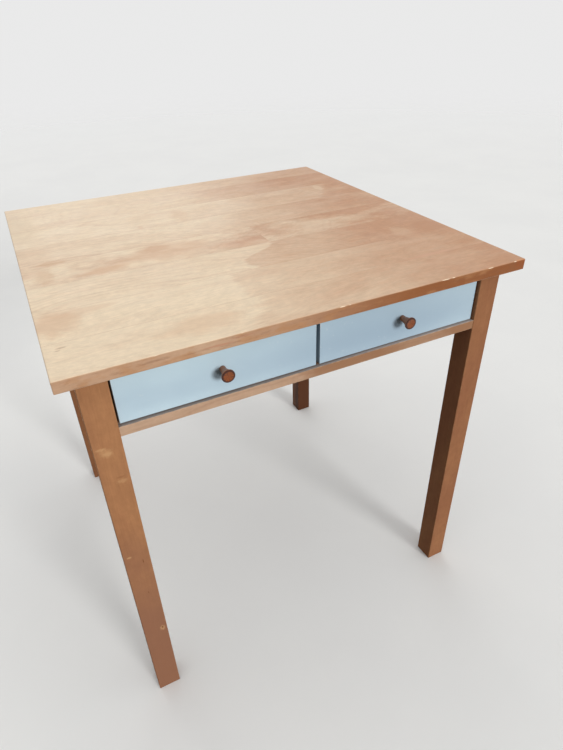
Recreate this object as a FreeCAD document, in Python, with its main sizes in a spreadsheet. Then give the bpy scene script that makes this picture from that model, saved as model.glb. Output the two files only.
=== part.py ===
import FreeCAD, Part
import os
from collections import namedtuple

import Sketcher

# A square wooden kitchen table with two drawers side by side under its front edge.
# X runs to the right along the drawer side, Y from the drawer side to the back, Z up.
# The origin is on the floor under the middle of the top. Every length is in millimetres.

SIZES = {
    # the top and the legs
    "top_width": 740,
    "top_depth": 740,
    "top_thickness": 18,
    "top_arris": 1.5,
    "overhang": 24,
    "leg_length": 725,
    "leg_size": 40,
    "leg_arris": 1.5,
    "foot_bevel": 1,
    # the aprons at the sides and the back
    "apron_height": 106,
    "apron_thickness": 18,
    "apron_setback": 5,
    # the two front rails
    "rail_height": 16,
    "rail_depth": 39,
    "rail_setback": 1,
    "rail_arris": 0.8,
    "upper_rail_height": 18,
    "upper_rail_depth": 36,
    # mortise and tenon joints
    "tenon_length": 18,
    "tenon_thickness": 10,
    "tenon_shoulder": 12,
    "rail_tenon_height": 8,
    "rail_tenon_shoulder": 8,
    "upper_tenon_shoulder": 3,
    "runner_tenon_length": 12,
    # the drawer fronts
    "front_thickness": 18,
    "front_setback": 6,
    "front_reveal": 3,
    "front_gap": 6,
    "front_lift": 1.5,
    "front_headroom": 6.5,
    "front_arris": 1,
    # the drawer boxes
    "box_inset": 8,
    "side_thickness": 12,
    "side_length": 490,
    "side_headroom": 1.7,
    "back_thickness": 12,
    "back_margin": 10,
    "dado_depth": 4,
    "bottom_thickness": 4,
    "groove_depth": 5,
    "groove_height": 8,
    "dovetail_length": 7,
    "dovetail_neck": 7,
    "dovetail_tip": 10,
    "drawer_kept_in": 90,
    # the strips that carry, guide and hold down the drawers
    "runner_ledge": 3,
    "guide_height": 24,
    "stop_width": 40,
    "stop_depth": 20,
    "stop_drop": 12,
    # the turned knobs and their screws
    "knob_length": 23.5,
    "knob_stem": 9.5,
    "knob_neck": 6,
    "knob_flare": 15.6,
    "knob_flare_bow": 22,
    "knob_face": 20,
    "knob_lip": 4.4,
    "knob_shoulder": 1.2,
    "knob_edge": 1.2,
    "knob_dish": 0.5,
    "knob_dish_flat": 8,
    "knob_dish_bow": 20,
    "knob_bolt": 4,
    "knob_bolt_bite": 12,
    "knob_bolt_head": 8,
    "knob_bolt_head_height": 2.8,
    # wood screws
    "screw_shank": 4,
    "screw_head": 8,
    "screw_head_height": 2.4,
    "screw_point": 5,
    "pin_shank": 2.4,
    "pin_head": 5,
    "pin_head_height": 1.2,
    "pin_point": 3,
    # clearances
    "fit_gap": 0.15,
    "panel_gap": 0.3,
    "running_gap": 0.3,
    "guide_gap": 1,
}

# How far a wood screw goes into the second board, as a share of that board's thickness.
BITE_SHARE = 2 / 3
# The blunt end of a screw's point, as a share of its shank.
POINT_SHARE = 1 / 4
# How near to a plane an edge lies in it, as a share of the edge's length.
TINY_SHARE = 1 / 1000
# Screws and their bores have flat sides, few enough to keep the model light.
BORE_SIDES = 10

# Places worked out from the sizes. Each is an expression over the sheet's cells.
LEG_OUTER_X = "(Sizes.top_width / 2 - Sizes.overhang)"
LEG_INNER_X = f"({LEG_OUTER_X} - Sizes.leg_size)"
LEG_OUTER_Y = "(Sizes.top_depth / 2 - Sizes.overhang)"
LEG_INNER_Y = f"({LEG_OUTER_Y} - Sizes.leg_size)"
APRON_OUTER_X = f"({LEG_OUTER_X} - Sizes.apron_setback)"
APRON_INNER_X = f"({APRON_OUTER_X} - Sizes.apron_thickness)"
APRON_MIDDLE_X = f"({APRON_OUTER_X} - Sizes.apron_thickness / 2)"
BACK_APRON_INNER_Y = f"({LEG_OUTER_Y} - Sizes.apron_setback - Sizes.apron_thickness)"
BACK_APRON_MIDDLE_Y = f"({LEG_OUTER_Y} - Sizes.apron_setback - Sizes.apron_thickness / 2)"
TOP_Z = "Sizes.leg_length"
APRON_BOTTOM_Z = "(Sizes.leg_length - Sizes.apron_height)"
RAIL_FRONT_Y = f"(-{LEG_OUTER_Y} + Sizes.rail_setback)"
RAIL_REAR_Y = f"({RAIL_FRONT_Y} + Sizes.rail_depth)"
RAIL_MIDDLE_Z = f"({APRON_BOTTOM_Z} + Sizes.rail_height / 2)"
RAIL_TOP_Z = f"({APRON_BOTTOM_Z} + Sizes.rail_height)"
FRONT_FACE_Y = f"(-{LEG_OUTER_Y} + Sizes.front_setback)"
FRONT_REAR_Y = f"({FRONT_FACE_Y} + Sizes.front_thickness)"
FRONT_BOTTOM_Z = f"({RAIL_TOP_Z} + Sizes.front_lift)"
FRONT_HEIGHT = f"({TOP_Z} - Sizes.front_headroom - {FRONT_BOTTOM_Z})"
FRONT_NEAR_X = "(Sizes.front_gap / 2)"
FRONT_FAR_X = f"({LEG_INNER_X} - Sizes.front_reveal)"
FRONT_MIDDLE_X = f"(({FRONT_NEAR_X} + {FRONT_FAR_X}) / 2)"
UPPER_RAIL_FRONT_Y = f"({FRONT_REAR_Y} + Sizes.running_gap)"
UPPER_RAIL_REAR_Y = f"({UPPER_RAIL_FRONT_Y} + Sizes.upper_rail_depth)"
KICKER_BOTTOM_Z = f"({TOP_Z} - Sizes.upper_rail_height)"
BOX_NEAR_X = f"({FRONT_NEAR_X} + Sizes.box_inset)"
BOX_FAR_X = f"({FRONT_FAR_X} - Sizes.box_inset)"
BOX_REAR_Y = f"({FRONT_REAR_Y} + Sizes.side_length)"
BACK_REAR_Y = f"({BOX_REAR_Y} - Sizes.back_margin)"
BACK_FRONT_Y = f"({BACK_REAR_Y} - Sizes.back_thickness)"
SIDE_BOTTOM_Z = f"({RAIL_TOP_Z} + Sizes.running_gap)"
SIDE_TOP_Z = f"({KICKER_BOTTOM_Z} - Sizes.side_headroom)"
SIDE_HEIGHT = f"({SIDE_TOP_Z} - {SIDE_BOTTOM_Z})"
GROOVE_BOTTOM_Z = f"({SIDE_BOTTOM_Z} + Sizes.groove_height)"
GROOVE_WIDTH = "(Sizes.bottom_thickness + 2 * Sizes.panel_gap)"
PANEL_BOTTOM_Z = f"({GROOVE_BOTTOM_Z} + Sizes.panel_gap)"
PANEL_TOP_Z = f"({PANEL_BOTTOM_Z} + Sizes.bottom_thickness)"
LEDGE_NEAR_X = f"({BOX_FAR_X} - Sizes.side_thickness - Sizes.runner_ledge)"
CENTRE_HALF_WIDTH = f"({BOX_NEAR_X} + Sizes.side_thickness + Sizes.runner_ledge)"
GUIDE_NEAR_X = f"({BOX_FAR_X} + Sizes.guide_gap)"
CENTRE_GUIDE_HALF_WIDTH = f"({BOX_NEAR_X} - Sizes.guide_gap)"
DRAWER_TRAVEL = "(Sizes.side_length - Sizes.drawer_kept_in)"
STOP_REAR_Y = f"({BACK_FRONT_Y} - {DRAWER_TRAVEL} - Sizes.running_gap)"

LEFT, RIGHT = -1, 1
SIDE_NAMES = {LEFT: "left", RIGHT: "right"}
FRONT, BACK = -1, 1
END_NAMES = {FRONT: "front", BACK: "back"}

Board = namedtuple("Board", "body low")
Fastener = namedtuple("Fastener", "start direction length")

doc = FreeCAD.newDocument("TableWithDrawers")


def write_sheet():
    """Puts every driving size in its own cell, named by its alias."""
    sheet = doc.addObject("Spreadsheet::Sheet", "Sizes")
    for row, (alias, size) in enumerate(SIZES.items(), start=1):
        sheet.set(f"A{row}", alias)
        sheet.set(f"B{row}", str(size))
        sheet.setAlias(f"B{row}", alias)
    doc.recompute()
    return sheet


sheet = write_sheet()


def number(expression):
    """The value that an expression over the sheet has now."""
    return float(sheet.evalExpression(str(expression)))


def signed(side, expression):
    """The expression itself on the right or at the back, and its negative on the other side."""
    return f"({expression})" if side > 0 else f"(-({expression}))"


def low_end(side, near, far):
    """The low coordinate of what lies from near to far on one side of the middle."""
    return near if side > 0 else f"(-({far}))"


def origin_plane(body, role):
    """One of the body's own three origin planes."""
    return next(item for item in body.Origin.OriginFeatures if item.Role == role)


def outline(body, role, corners, bows=None):
    """A closed sketch through corners given as pairs of expressions.

    Side number n joins corner n to the next one. It is a straight line, or, where bows names it,
    an arc of the radius given there that bends to the right of its way (a negative radius
    bends it to the left).
    """
    bows = bows or {}
    sketch = body.newObject("Sketcher::SketchObject", f"{body.Name}_outline")
    sketch.AttachmentSupport = [(origin_plane(body, role), "")]
    sketch.MapMode = "FlatFace"
    points = [FreeCAD.Vector(number(across), number(up), 0) for across, up in corners]
    for side, start in enumerate(points):
        end = points[(side + 1) % len(points)]
        if side in bows:
            sketch.addGeometry(bowed_edge(start, end, number(bows[side])))
        else:
            sketch.addGeometry(Part.LineSegment(start, end))
    ends = {}
    for side, start in enumerate(points):
        bow = number(bows[side]) if side in bows else 1
        ends[side] = (1, 2) if bow > 0 else (2, 1)
    for side, (across, up) in enumerate(corners):
        following = (side + 1) % len(corners)
        sketch.addConstraint(
            Sketcher.Constraint("Coincident", side, ends[side][1], following, ends[following][0])
        )
        for kind, expression in (("DistanceX", across), ("DistanceY", up)):
            held = sketch.addConstraint(
                Sketcher.Constraint(kind, -1, 1, side, ends[side][0], number(expression))
            )
            sketch.setExpression(f"Constraints[{held}]", str(expression))
        if side in bows:
            held = sketch.addConstraint(
                Sketcher.Constraint("Radius", side, abs(number(bows[side])))
            )
            sketch.setExpression(f"Constraints[{held}]", f"abs({bows[side]})")
    return sketch


def bowed_edge(start, end, radius):
    """The shorter arc from start to end, with its bulge to the right of the way if radius > 0."""
    chord = end - start
    to_right = FreeCAD.Vector(chord.y, -chord.x, 0).normalize()
    side = 1 if radius > 0 else -1
    reach = abs(radius)
    sagitta = reach - (reach**2 - (chord.Length / 2) ** 2) ** 0.5
    middle = start + chord * 0.5 + to_right * side * sagitta
    return Part.Arc(start, middle, end)


def add_pad(body, sketch, length):
    """Thickens the sketch along its plane's normal."""
    pad = body.newObject("PartDesign::Pad", f"{body.Name}_pad")
    pad.Profile = sketch
    pad.setExpression("Length", length)
    return pad


def put(item, start, direction):
    """Stands a feature at a point given by expressions, with its own Z along direction."""
    turn = FreeCAD.Rotation(FreeCAD.Vector(0, 0, 1), FreeCAD.Vector(*direction))
    item.Placement = FreeCAD.Placement(FreeCAD.Vector(), turn)
    for axis, place in zip("xyz", start):
        item.setExpression(f"Placement.Base.{axis}", place)


def shaped_board(label, low, corners, height):
    """A board with the given outline in plan, its low corner and its height, as expressions."""
    body = doc.addObject("PartDesign::Body", label)
    add_pad(body, outline(body, "XY_Plane", corners), height)
    put(body, low, (0, 0, 1))
    return Board(body, low)


def board(label, low, size):
    """A straight board: its low corner and its size along X, Y and Z, as expressions."""
    width, depth, height = size
    corners = [("0", "0"), (width, "0"), (width, depth), ("0", depth)]
    return shaped_board(label, low, corners, height)


def edges_of(feature, chosen):
    """Names of the feature's edges that the test chosen accepts."""
    doc.recompute()
    edges = enumerate(feature.Shape.Edges, start=1)
    return [f"Edge{place}" for place, edge in edges if chosen(edge)]


def runs_along(axis):
    """A test for straight edges parallel to one axis, named by its number."""
    def along(edge):
        across = edge.Vertexes[1].Point - edge.Vertexes[0].Point
        return abs(across[axis]) > across.Length / 2
    return along


def runs_across(axis):
    """A test for straight edges that are not parallel to the axis."""
    along = runs_along(axis)
    return lambda edge: not along(edge)


def lies_at_zero(axis):
    """A test for edges in the plane through the piece's low corner, square to the axis."""
    def at_zero(edge):
        return all(abs(end.Point[axis]) < edge.Length * TINY_SHARE for end in edge.Vertexes)
    return at_zero


def soften(piece, kind, size_name, size, chosen):
    """Rounds (kind Fillet) or bevels (kind Chamfer) the chosen edges of the piece's last feature."""
    last = piece.body.Tip
    names = edges_of(last, chosen)
    feature = piece.body.newObject(f"PartDesign::{kind}", f"{piece.body.Name}_{kind.lower()}")
    feature.Base = (last, names)
    feature.setExpression(size_name, size)
    doc.recompute()


def local_place(piece, point):
    """The point in the piece's own frame, whose origin is its low corner."""
    return tuple(f"{place} - ({corner})" for place, corner in zip(point, piece.low))


def box_feature(piece, kind, low, size):
    """A box in the table's own frame, added to the piece or cut from it."""
    box = piece.body.newObject(f"PartDesign::{kind}Box", f"{piece.body.Name}_{kind.lower()}_box")
    for name, length in zip(("Length", "Width", "Height"), size):
        box.setExpression(name, length)
    put(box, local_place(piece, low), (0, 0, 1))


def bore(piece, start, direction, diameter, depth):
    """A hole with flat sides from a point on the piece's face, straight into it."""
    hole = piece.body.newObject("PartDesign::SubtractivePrism", f"{piece.body.Name}_bore")
    hole.Polygon = BORE_SIDES
    hole.setExpression("Circumradius", f"{diameter} / 2 + Sizes.fit_gap")
    hole.setExpression("Height", f"{depth} + Sizes.fit_gap")
    put(hole, local_place(piece, start), direction)


def ahead(point, direction, distance):
    """The point moved along the direction by an expression."""
    return tuple(
        f"({place} + ({distance}) * {part})" if part else place
        for place, part in zip(point, direction)
    )


def tenon_joint(piece, socket, low, size):
    """Adds a tenon to the piece and cuts its mortise, looser by the fit, in the socket board."""
    box_feature(piece, "Additive", low, size)
    mortise_low = tuple(f"{place} - Sizes.fit_gap" for place in low)
    mortise_size = tuple(f"{length} + 2 * Sizes.fit_gap" for length in size)
    box_feature(socket, "Subtractive", mortise_low, mortise_size)


def screw_joint(group, first, second, point, direction, through, bite, size="screw"):
    """Bores both boards, sinks the head into the first, and notes the screw."""
    shank, head = f"Sizes.{size}_shank", f"Sizes.{size}_head"
    bore(first, point, direction, shank, through)
    bore(first, point, direction, head, f"Sizes.{size}_head_height")
    bore(second, ahead(point, direction, through), direction, shank, bite)
    group.append(Fastener(point, direction, f"{through} + {bite}"))


def ring(radius, height):
    """A regular polygon round the Z axis, with a corner over the X axis like a bore's."""
    start = FreeCAD.Vector(radius, 0, height)
    up = FreeCAD.Vector(0, 0, 1)
    turns = [FreeCAD.Rotation(up, 360 * step / BORE_SIDES) for step in range(BORE_SIDES)]
    corners = [turn.multVec(start) for turn in turns]
    return Part.makePolygon(corners + corners[:1])


def flat_sided(profile):
    """The solid with flat sides that goes through rings given as (radius, height)."""
    return Part.makeLoft([ring(radius, height) for radius, height in profile], True, True)


def screw_shape(size, length):
    """A sunk screw: a low head, a plain shank and a blunt point."""
    head = number(f"Sizes.{size}_head / 2")
    head_height = number(f"Sizes.{size}_head_height")
    shank = number(f"Sizes.{size}_shank / 2")
    shank_end = length - number(f"Sizes.{size}_point")
    cap = flat_sided([(head, 0), (head, head_height)])
    stem = flat_sided(
        [(shank, head_height), (shank, shank_end), (shank * POINT_SHARE, length)]
    )
    return cap.fuse(stem).removeSplitter()


def add_group(label, fasteners, make_shape):
    """One sub-part that holds a set of like fasteners as separate solids."""
    solids = []
    for fastener in fasteners:
        solid = make_shape(number(fastener.length))
        turn = FreeCAD.Rotation(FreeCAD.Vector(0, 0, 1), FreeCAD.Vector(*fastener.direction))
        place = FreeCAD.Vector(*(number(part) for part in fastener.start))
        solid.Placement = FreeCAD.Placement(place, turn)
        solids.append(solid)
    group = doc.addObject("Part::Feature", label)
    group.Shape = Part.makeCompound(solids)
    group.Placement = FreeCAD.Placement()


def add_screws(label, screws, size="screw"):
    """A node of screws of one gauge."""
    add_group(label, screws, lambda length: screw_shape(size, length))


def make_top():
    """The laminated board, its upper and lower arrises just rounded."""
    top = board(
        "tabletop",
        ("-Sizes.top_width / 2", "-Sizes.top_depth / 2", TOP_Z),
        ("Sizes.top_width", "Sizes.top_depth", "Sizes.top_thickness"),
    )
    soften(top, "Fillet", "Radius", "Sizes.top_arris", runs_across(2))
    return top


def make_leg(side, end):
    """A square straight leg with eased long edges and a bevelled foot."""
    leg = board(
        f"{END_NAMES[end]}_{SIDE_NAMES[side]}_leg",
        (
            low_end(side, LEG_INNER_X, LEG_OUTER_X),
            low_end(end, LEG_INNER_Y, LEG_OUTER_Y),
            "0",
        ),
        ("Sizes.leg_size", "Sizes.leg_size", "Sizes.leg_length"),
    )
    soften(leg, "Fillet", "Radius", "Sizes.leg_arris", runs_along(2))
    soften(leg, "Chamfer", "Size", "Sizes.foot_bevel", lies_at_zero(2))
    return leg


def make_side_apron(side):
    """The board between the front leg and the back leg."""
    return board(
        f"{SIDE_NAMES[side]}_apron",
        (low_end(side, APRON_INNER_X, APRON_OUTER_X), f"-{LEG_INNER_Y}", APRON_BOTTOM_Z),
        ("Sizes.apron_thickness", f"2 * {LEG_INNER_Y}", "Sizes.apron_height"),
    )


def make_back_apron():
    """The board between the two back legs."""
    return board(
        "back_apron",
        (f"-{LEG_INNER_X}", BACK_APRON_INNER_Y, APRON_BOTTOM_Z),
        (f"2 * {LEG_INNER_X}", "Sizes.apron_thickness", "Sizes.apron_height"),
    )


def make_lower_rail():
    """The slim rail under the drawers, just behind the faces of the legs."""
    rail = board(
        "lower_front_rail",
        (f"-{LEG_INNER_X}", RAIL_FRONT_Y, APRON_BOTTOM_Z),
        (f"2 * {LEG_INNER_X}", "Sizes.rail_depth", "Sizes.rail_height"),
    )
    soften(rail, "Fillet", "Radius", "Sizes.rail_arris", runs_along(0))
    return rail


def make_upper_rail():
    """The rail under the top that the drawer fronts close against."""
    return board(
        "upper_front_rail",
        (f"-{LEG_INNER_X}", UPPER_RAIL_FRONT_Y, KICKER_BOTTOM_Z),
        (f"2 * {LEG_INNER_X}", "Sizes.upper_rail_depth", "Sizes.upper_rail_height"),
    )


def make_side_strips(side):
    """At one side: the runner below the drawer side, the guide beside it, the kicker above it."""
    name = SIDE_NAMES[side]
    strip_x = low_end(side, LEDGE_NEAR_X, APRON_INNER_X)
    strip_width = f"{APRON_INNER_X} - {LEDGE_NEAR_X}"
    runner = board(
        f"{name}_runner",
        (strip_x, f"-{LEG_INNER_Y}", APRON_BOTTOM_Z),
        (strip_width, f"2 * {LEG_INNER_Y}", "Sizes.rail_height"),
    )
    guide = board(
        f"{name}_guide",
        (low_end(side, GUIDE_NEAR_X, APRON_INNER_X), f"-{LEG_INNER_Y}", RAIL_TOP_Z),
        (f"{APRON_INNER_X} - {GUIDE_NEAR_X}", f"2 * {LEG_INNER_Y}", "Sizes.guide_height"),
    )
    kicker = board(
        f"{name}_kicker",
        (strip_x, UPPER_RAIL_REAR_Y, KICKER_BOTTOM_Z),
        (strip_width, f"{LEG_INNER_Y} - {UPPER_RAIL_REAR_Y}", "Sizes.upper_rail_height"),
    )
    return runner, guide, kicker


def make_centre_strips():
    """Between the drawers: one runner, guide and kicker that serve both."""
    whole_width = f"2 * {CENTRE_HALF_WIDTH}"
    length = f"{BACK_APRON_INNER_Y} - {RAIL_REAR_Y}"
    runner = board(
        "centre_runner",
        (f"-{CENTRE_HALF_WIDTH}", RAIL_REAR_Y, APRON_BOTTOM_Z),
        (whole_width, length, "Sizes.rail_height"),
    )
    guide = board(
        "centre_guide",
        (f"-{CENTRE_GUIDE_HALF_WIDTH}", RAIL_REAR_Y, RAIL_TOP_Z),
        (f"2 * {CENTRE_GUIDE_HALF_WIDTH}", length, "Sizes.guide_height"),
    )
    kicker = board(
        "centre_kicker",
        (f"-{CENTRE_HALF_WIDTH}", UPPER_RAIL_REAR_Y, KICKER_BOTTOM_Z),
        (
            whole_width,
            f"{BACK_APRON_INNER_Y} - {UPPER_RAIL_REAR_Y}",
            "Sizes.upper_rail_height",
        ),
    )
    return runner, guide, kicker


def make_stop(side):
    """The block under the top that the back of an open drawer meets."""
    height = "(Sizes.upper_rail_height + Sizes.stop_drop)"
    return board(
        f"{SIDE_NAMES[side]}_drawer_stop",
        (
            f"{signed(side, FRONT_MIDDLE_X)} - Sizes.stop_width / 2",
            f"{STOP_REAR_Y} - Sizes.stop_depth",
            f"{TOP_Z} - {height}",
        ),
        ("Sizes.stop_width", "Sizes.stop_depth", height),
    )


def join_aprons(legs, aprons, back_apron):
    """Tenons at the ends of the aprons, in mortises in the legs."""
    height = "Sizes.apron_height - 2 * Sizes.tenon_shoulder"
    low_z = f"{APRON_BOTTOM_Z} + Sizes.tenon_shoulder"
    for (side, end), leg in legs.items():
        low = (
            f"{signed(side, APRON_MIDDLE_X)} - Sizes.tenon_thickness / 2",
            low_end(end, LEG_INNER_Y, f"({LEG_INNER_Y} + Sizes.tenon_length)"),
            low_z,
        )
        size = ("Sizes.tenon_thickness", "Sizes.tenon_length", height)
        tenon_joint(aprons[side], leg, low, size)
    for side in (LEFT, RIGHT):
        low = (
            low_end(side, LEG_INNER_X, f"({LEG_INNER_X} + Sizes.tenon_length)"),
            f"{BACK_APRON_MIDDLE_Y} - Sizes.tenon_thickness / 2",
            low_z,
        )
        size = ("Sizes.tenon_length", "Sizes.tenon_thickness", height)
        tenon_joint(back_apron, legs[side, BACK], low, size)


def join_front_rails(legs, lower_rail, upper_rail):
    """Tenons at the ends of both front rails, in mortises in the front legs."""
    upper_shoulders = "2 * Sizes.upper_tenon_shoulder"
    for side in (LEFT, RIGHT):
        leg = legs[side, FRONT]
        low_x = low_end(side, LEG_INNER_X, f"({LEG_INNER_X} + Sizes.tenon_length)")
        lower_low = (
            low_x,
            f"{RAIL_FRONT_Y} + Sizes.rail_tenon_shoulder",
            f"{RAIL_MIDDLE_Z} - Sizes.rail_tenon_height / 2",
        )
        lower_depth = "Sizes.rail_depth - 2 * Sizes.rail_tenon_shoulder"
        lower_size = ("Sizes.tenon_length", lower_depth, "Sizes.rail_tenon_height")
        tenon_joint(lower_rail, leg, lower_low, lower_size)
        upper_low = (
            low_x,
            f"{UPPER_RAIL_FRONT_Y} + Sizes.upper_tenon_shoulder",
            f"{TOP_Z} - Sizes.upper_rail_height / 2 - Sizes.rail_tenon_height / 2",
        )
        upper_depth = f"-{LEG_INNER_Y} - {UPPER_RAIL_FRONT_Y} - {upper_shoulders}"
        upper_size = ("Sizes.tenon_length", upper_depth, "Sizes.rail_tenon_height")
        tenon_joint(upper_rail, leg, upper_low, upper_size)


def spaced(start, end, count):
    """Expressions for count places spread evenly, half a step in from both ends."""
    return [f"({start} + ({end} - {start}) * {2 * step + 1} / {2 * count})" for step in range(count)]


def join_side_strips(side, apron, top, strips, screws):
    """Screws from guide to apron, runner to guide, kicker to apron and kicker to top."""
    runner, guide, kicker = strips
    outwards, up = (side, 0, 0), (0, 0, 1)
    strip_width = f"({APRON_INNER_X} - {LEDGE_NEAR_X})"
    guide_width = f"({APRON_INNER_X} - {GUIDE_NEAR_X})"
    guide_x = signed(side, f"({GUIDE_NEAR_X} + {APRON_INNER_X}) / 2")
    apron_bite = f"(Sizes.apron_thickness * {BITE_SHARE})"
    guide_height = f"({RAIL_TOP_Z} + Sizes.guide_height / 2)"
    kicker_height = f"({TOP_Z} - Sizes.upper_rail_height / 2)"
    for place in spaced(f"-{LEG_INNER_Y}", LEG_INNER_Y, 2):
        point = (signed(side, GUIDE_NEAR_X), place, guide_height)
        screw_joint(screws["guide_screws"], guide, apron, point, outwards, guide_width, apron_bite)
    for place in spaced(f"-{LEG_INNER_Y}", LEG_INNER_Y, 3)[::2]:
        point = (guide_x, place, APRON_BOTTOM_Z)
        bite = f"(Sizes.guide_height * {BITE_SHARE})"
        screw_joint(screws["runner_screws"], runner, guide, point, up, "Sizes.rail_height", bite)
    for place in spaced(UPPER_RAIL_REAR_Y, LEG_INNER_Y, 2):
        point = (signed(side, LEDGE_NEAR_X), place, kicker_height)
        screw_joint(screws["kicker_screws"], kicker, apron, point, outwards, strip_width, apron_bite)
    for place in spaced(UPPER_RAIL_REAR_Y, LEG_INNER_Y, 3)[::2]:
        point = (guide_x, place, KICKER_BOTTOM_Z)
        screw_to_top(screws, kicker, top, point, "Sizes.upper_rail_height")


def screw_to_top(screws, piece, top, point, through):
    """A screw from below through a piece into the underside of the top."""
    bite = f"(Sizes.top_thickness * {BITE_SHARE})"
    screw_joint(screws["top_screws"], piece, top, point, (0, 0, 1), through, bite)


def join_centre_strips(strips, lower_rail, back_apron, top, screws):
    """Tenons at both ends of the centre runner, and screws to its guide and to the top."""
    runner, guide, kicker = strips
    tenon_half = f"({CENTRE_HALF_WIDTH} - Sizes.rail_tenon_shoulder)"
    tenon_low_z = f"{RAIL_MIDDLE_Z} - Sizes.rail_tenon_height / 2"
    size = (f"2 * {tenon_half}", "Sizes.runner_tenon_length", "Sizes.rail_tenon_height")
    front_low = (f"-{tenon_half}", f"{RAIL_REAR_Y} - Sizes.runner_tenon_length", tenon_low_z)
    tenon_joint(runner, lower_rail, front_low, size)
    tenon_joint(runner, back_apron, (f"-{tenon_half}", BACK_APRON_INNER_Y, tenon_low_z), size)
    up = (0, 0, 1)
    bite = f"(Sizes.guide_height * {BITE_SHARE})"
    for place in spaced(RAIL_REAR_Y, BACK_APRON_INNER_Y, 2):
        point = ("0", place, APRON_BOTTOM_Z)
        screw_joint(screws["runner_screws"], runner, guide, point, up, "Sizes.rail_height", bite)
    for place in spaced(UPPER_RAIL_REAR_Y, BACK_APRON_INNER_Y, 2):
        screw_to_top(screws, kicker, top, ("0", place, KICKER_BOTTOM_Z), "Sizes.upper_rail_height")


def join_upper_rail_and_stops(upper_rail, stops, top, screws):
    """Screws that hold the upper rail and the two drawer stops to the top."""
    rail_middle_y = f"({UPPER_RAIL_FRONT_Y} + Sizes.upper_rail_depth / 2)"
    for side, stop in stops.items():
        point = (signed(side, FRONT_MIDDLE_X), rail_middle_y, KICKER_BOTTOM_Z)
        screw_to_top(screws, upper_rail, top, point, "Sizes.upper_rail_height")
        point = (
            signed(side, FRONT_MIDDLE_X),
            f"({STOP_REAR_Y} - Sizes.stop_depth / 2)",
            f"({KICKER_BOTTOM_Z} - Sizes.stop_drop)",
        )
        through = "(Sizes.upper_rail_height + Sizes.stop_drop)"
        bite = f"(Sizes.top_thickness * {BITE_SHARE})"
        screw_joint(screws["stop_screws"], stop, top, point, (0, 0, 1), through, bite)


def make_frame():
    """The top, the legs and all that stands still, with its joints and screws."""
    top = make_top()
    legs = {
        (side, end): make_leg(side, end) for side in (LEFT, RIGHT) for end in (FRONT, BACK)
    }
    aprons = {side: make_side_apron(side) for side in (LEFT, RIGHT)}
    back_apron = make_back_apron()
    lower_rail = make_lower_rail()
    upper_rail = make_upper_rail()
    stops = {side: make_stop(side) for side in (LEFT, RIGHT)}
    screws = {
        name: []
        for name in ("guide_screws", "runner_screws", "kicker_screws", "top_screws", "stop_screws")
    }
    join_aprons(legs, aprons, back_apron)
    join_front_rails(legs, lower_rail, upper_rail)
    for side in (LEFT, RIGHT):
        join_side_strips(side, aprons[side], top, make_side_strips(side), screws)
    join_centre_strips(make_centre_strips(), lower_rail, back_apron, top, screws)
    join_upper_rail_and_stops(upper_rail, stops, top, screws)
    for name, group in screws.items():
        add_screws(name, group)


def dovetail_corners(middle, mouth, end, spare):
    """The four corners of a dovetail in plan, from its narrow mouth to its wide end."""
    neck = f"(Sizes.dovetail_neck / 2 + {spare})"
    tip = f"(Sizes.dovetail_tip / 2 + {spare})"
    return [
        (f"{middle} - {neck}", mouth),
        (f"{middle} - {tip}", end),
        (f"{middle} + {tip}", end),
        (f"{middle} + {neck}", mouth),
    ]


def make_drawer_front(name, low_x, width, side_middles):
    """The painted front: a groove for the bottom and a dovetailed housing for each side."""
    front = board(
        f"{name}_front",
        (low_x, FRONT_FACE_Y, FRONT_BOTTOM_Z),
        (width, "Sizes.front_thickness", FRONT_HEIGHT),
    )
    soften(front, "Fillet", "Radius", "Sizes.front_arris", lies_at_zero(1))
    groove_low = (
        f"({low_x} + Sizes.box_inset + Sizes.side_thickness - Sizes.groove_depth)",
        f"({FRONT_REAR_Y} - Sizes.groove_depth)",
        GROOVE_BOTTOM_Z,
    )
    groove_length = f"{width} - 2 * (Sizes.box_inset + Sizes.side_thickness - Sizes.groove_depth)"
    box_feature(
        front, "Subtractive", groove_low, (groove_length, "Sizes.groove_depth", GROOVE_WIDTH)
    )
    housing_end = "(Sizes.front_thickness - Sizes.dovetail_length - Sizes.fit_gap)"
    for middle in side_middles:
        corners = dovetail_corners(
            f"({middle} - {low_x})", "Sizes.front_thickness", housing_end, "Sizes.fit_gap"
        )
        housing = front.body.newObject("PartDesign::Pocket", f"{front.body.Name}_housing")
        housing.Profile = outline(front.body, "XY_Plane", corners)
        housing.Reversed = True
        housing.setExpression("Length", f"{SIDE_TOP_Z} + Sizes.fit_gap - {FRONT_BOTTOM_Z}")
    return front


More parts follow.
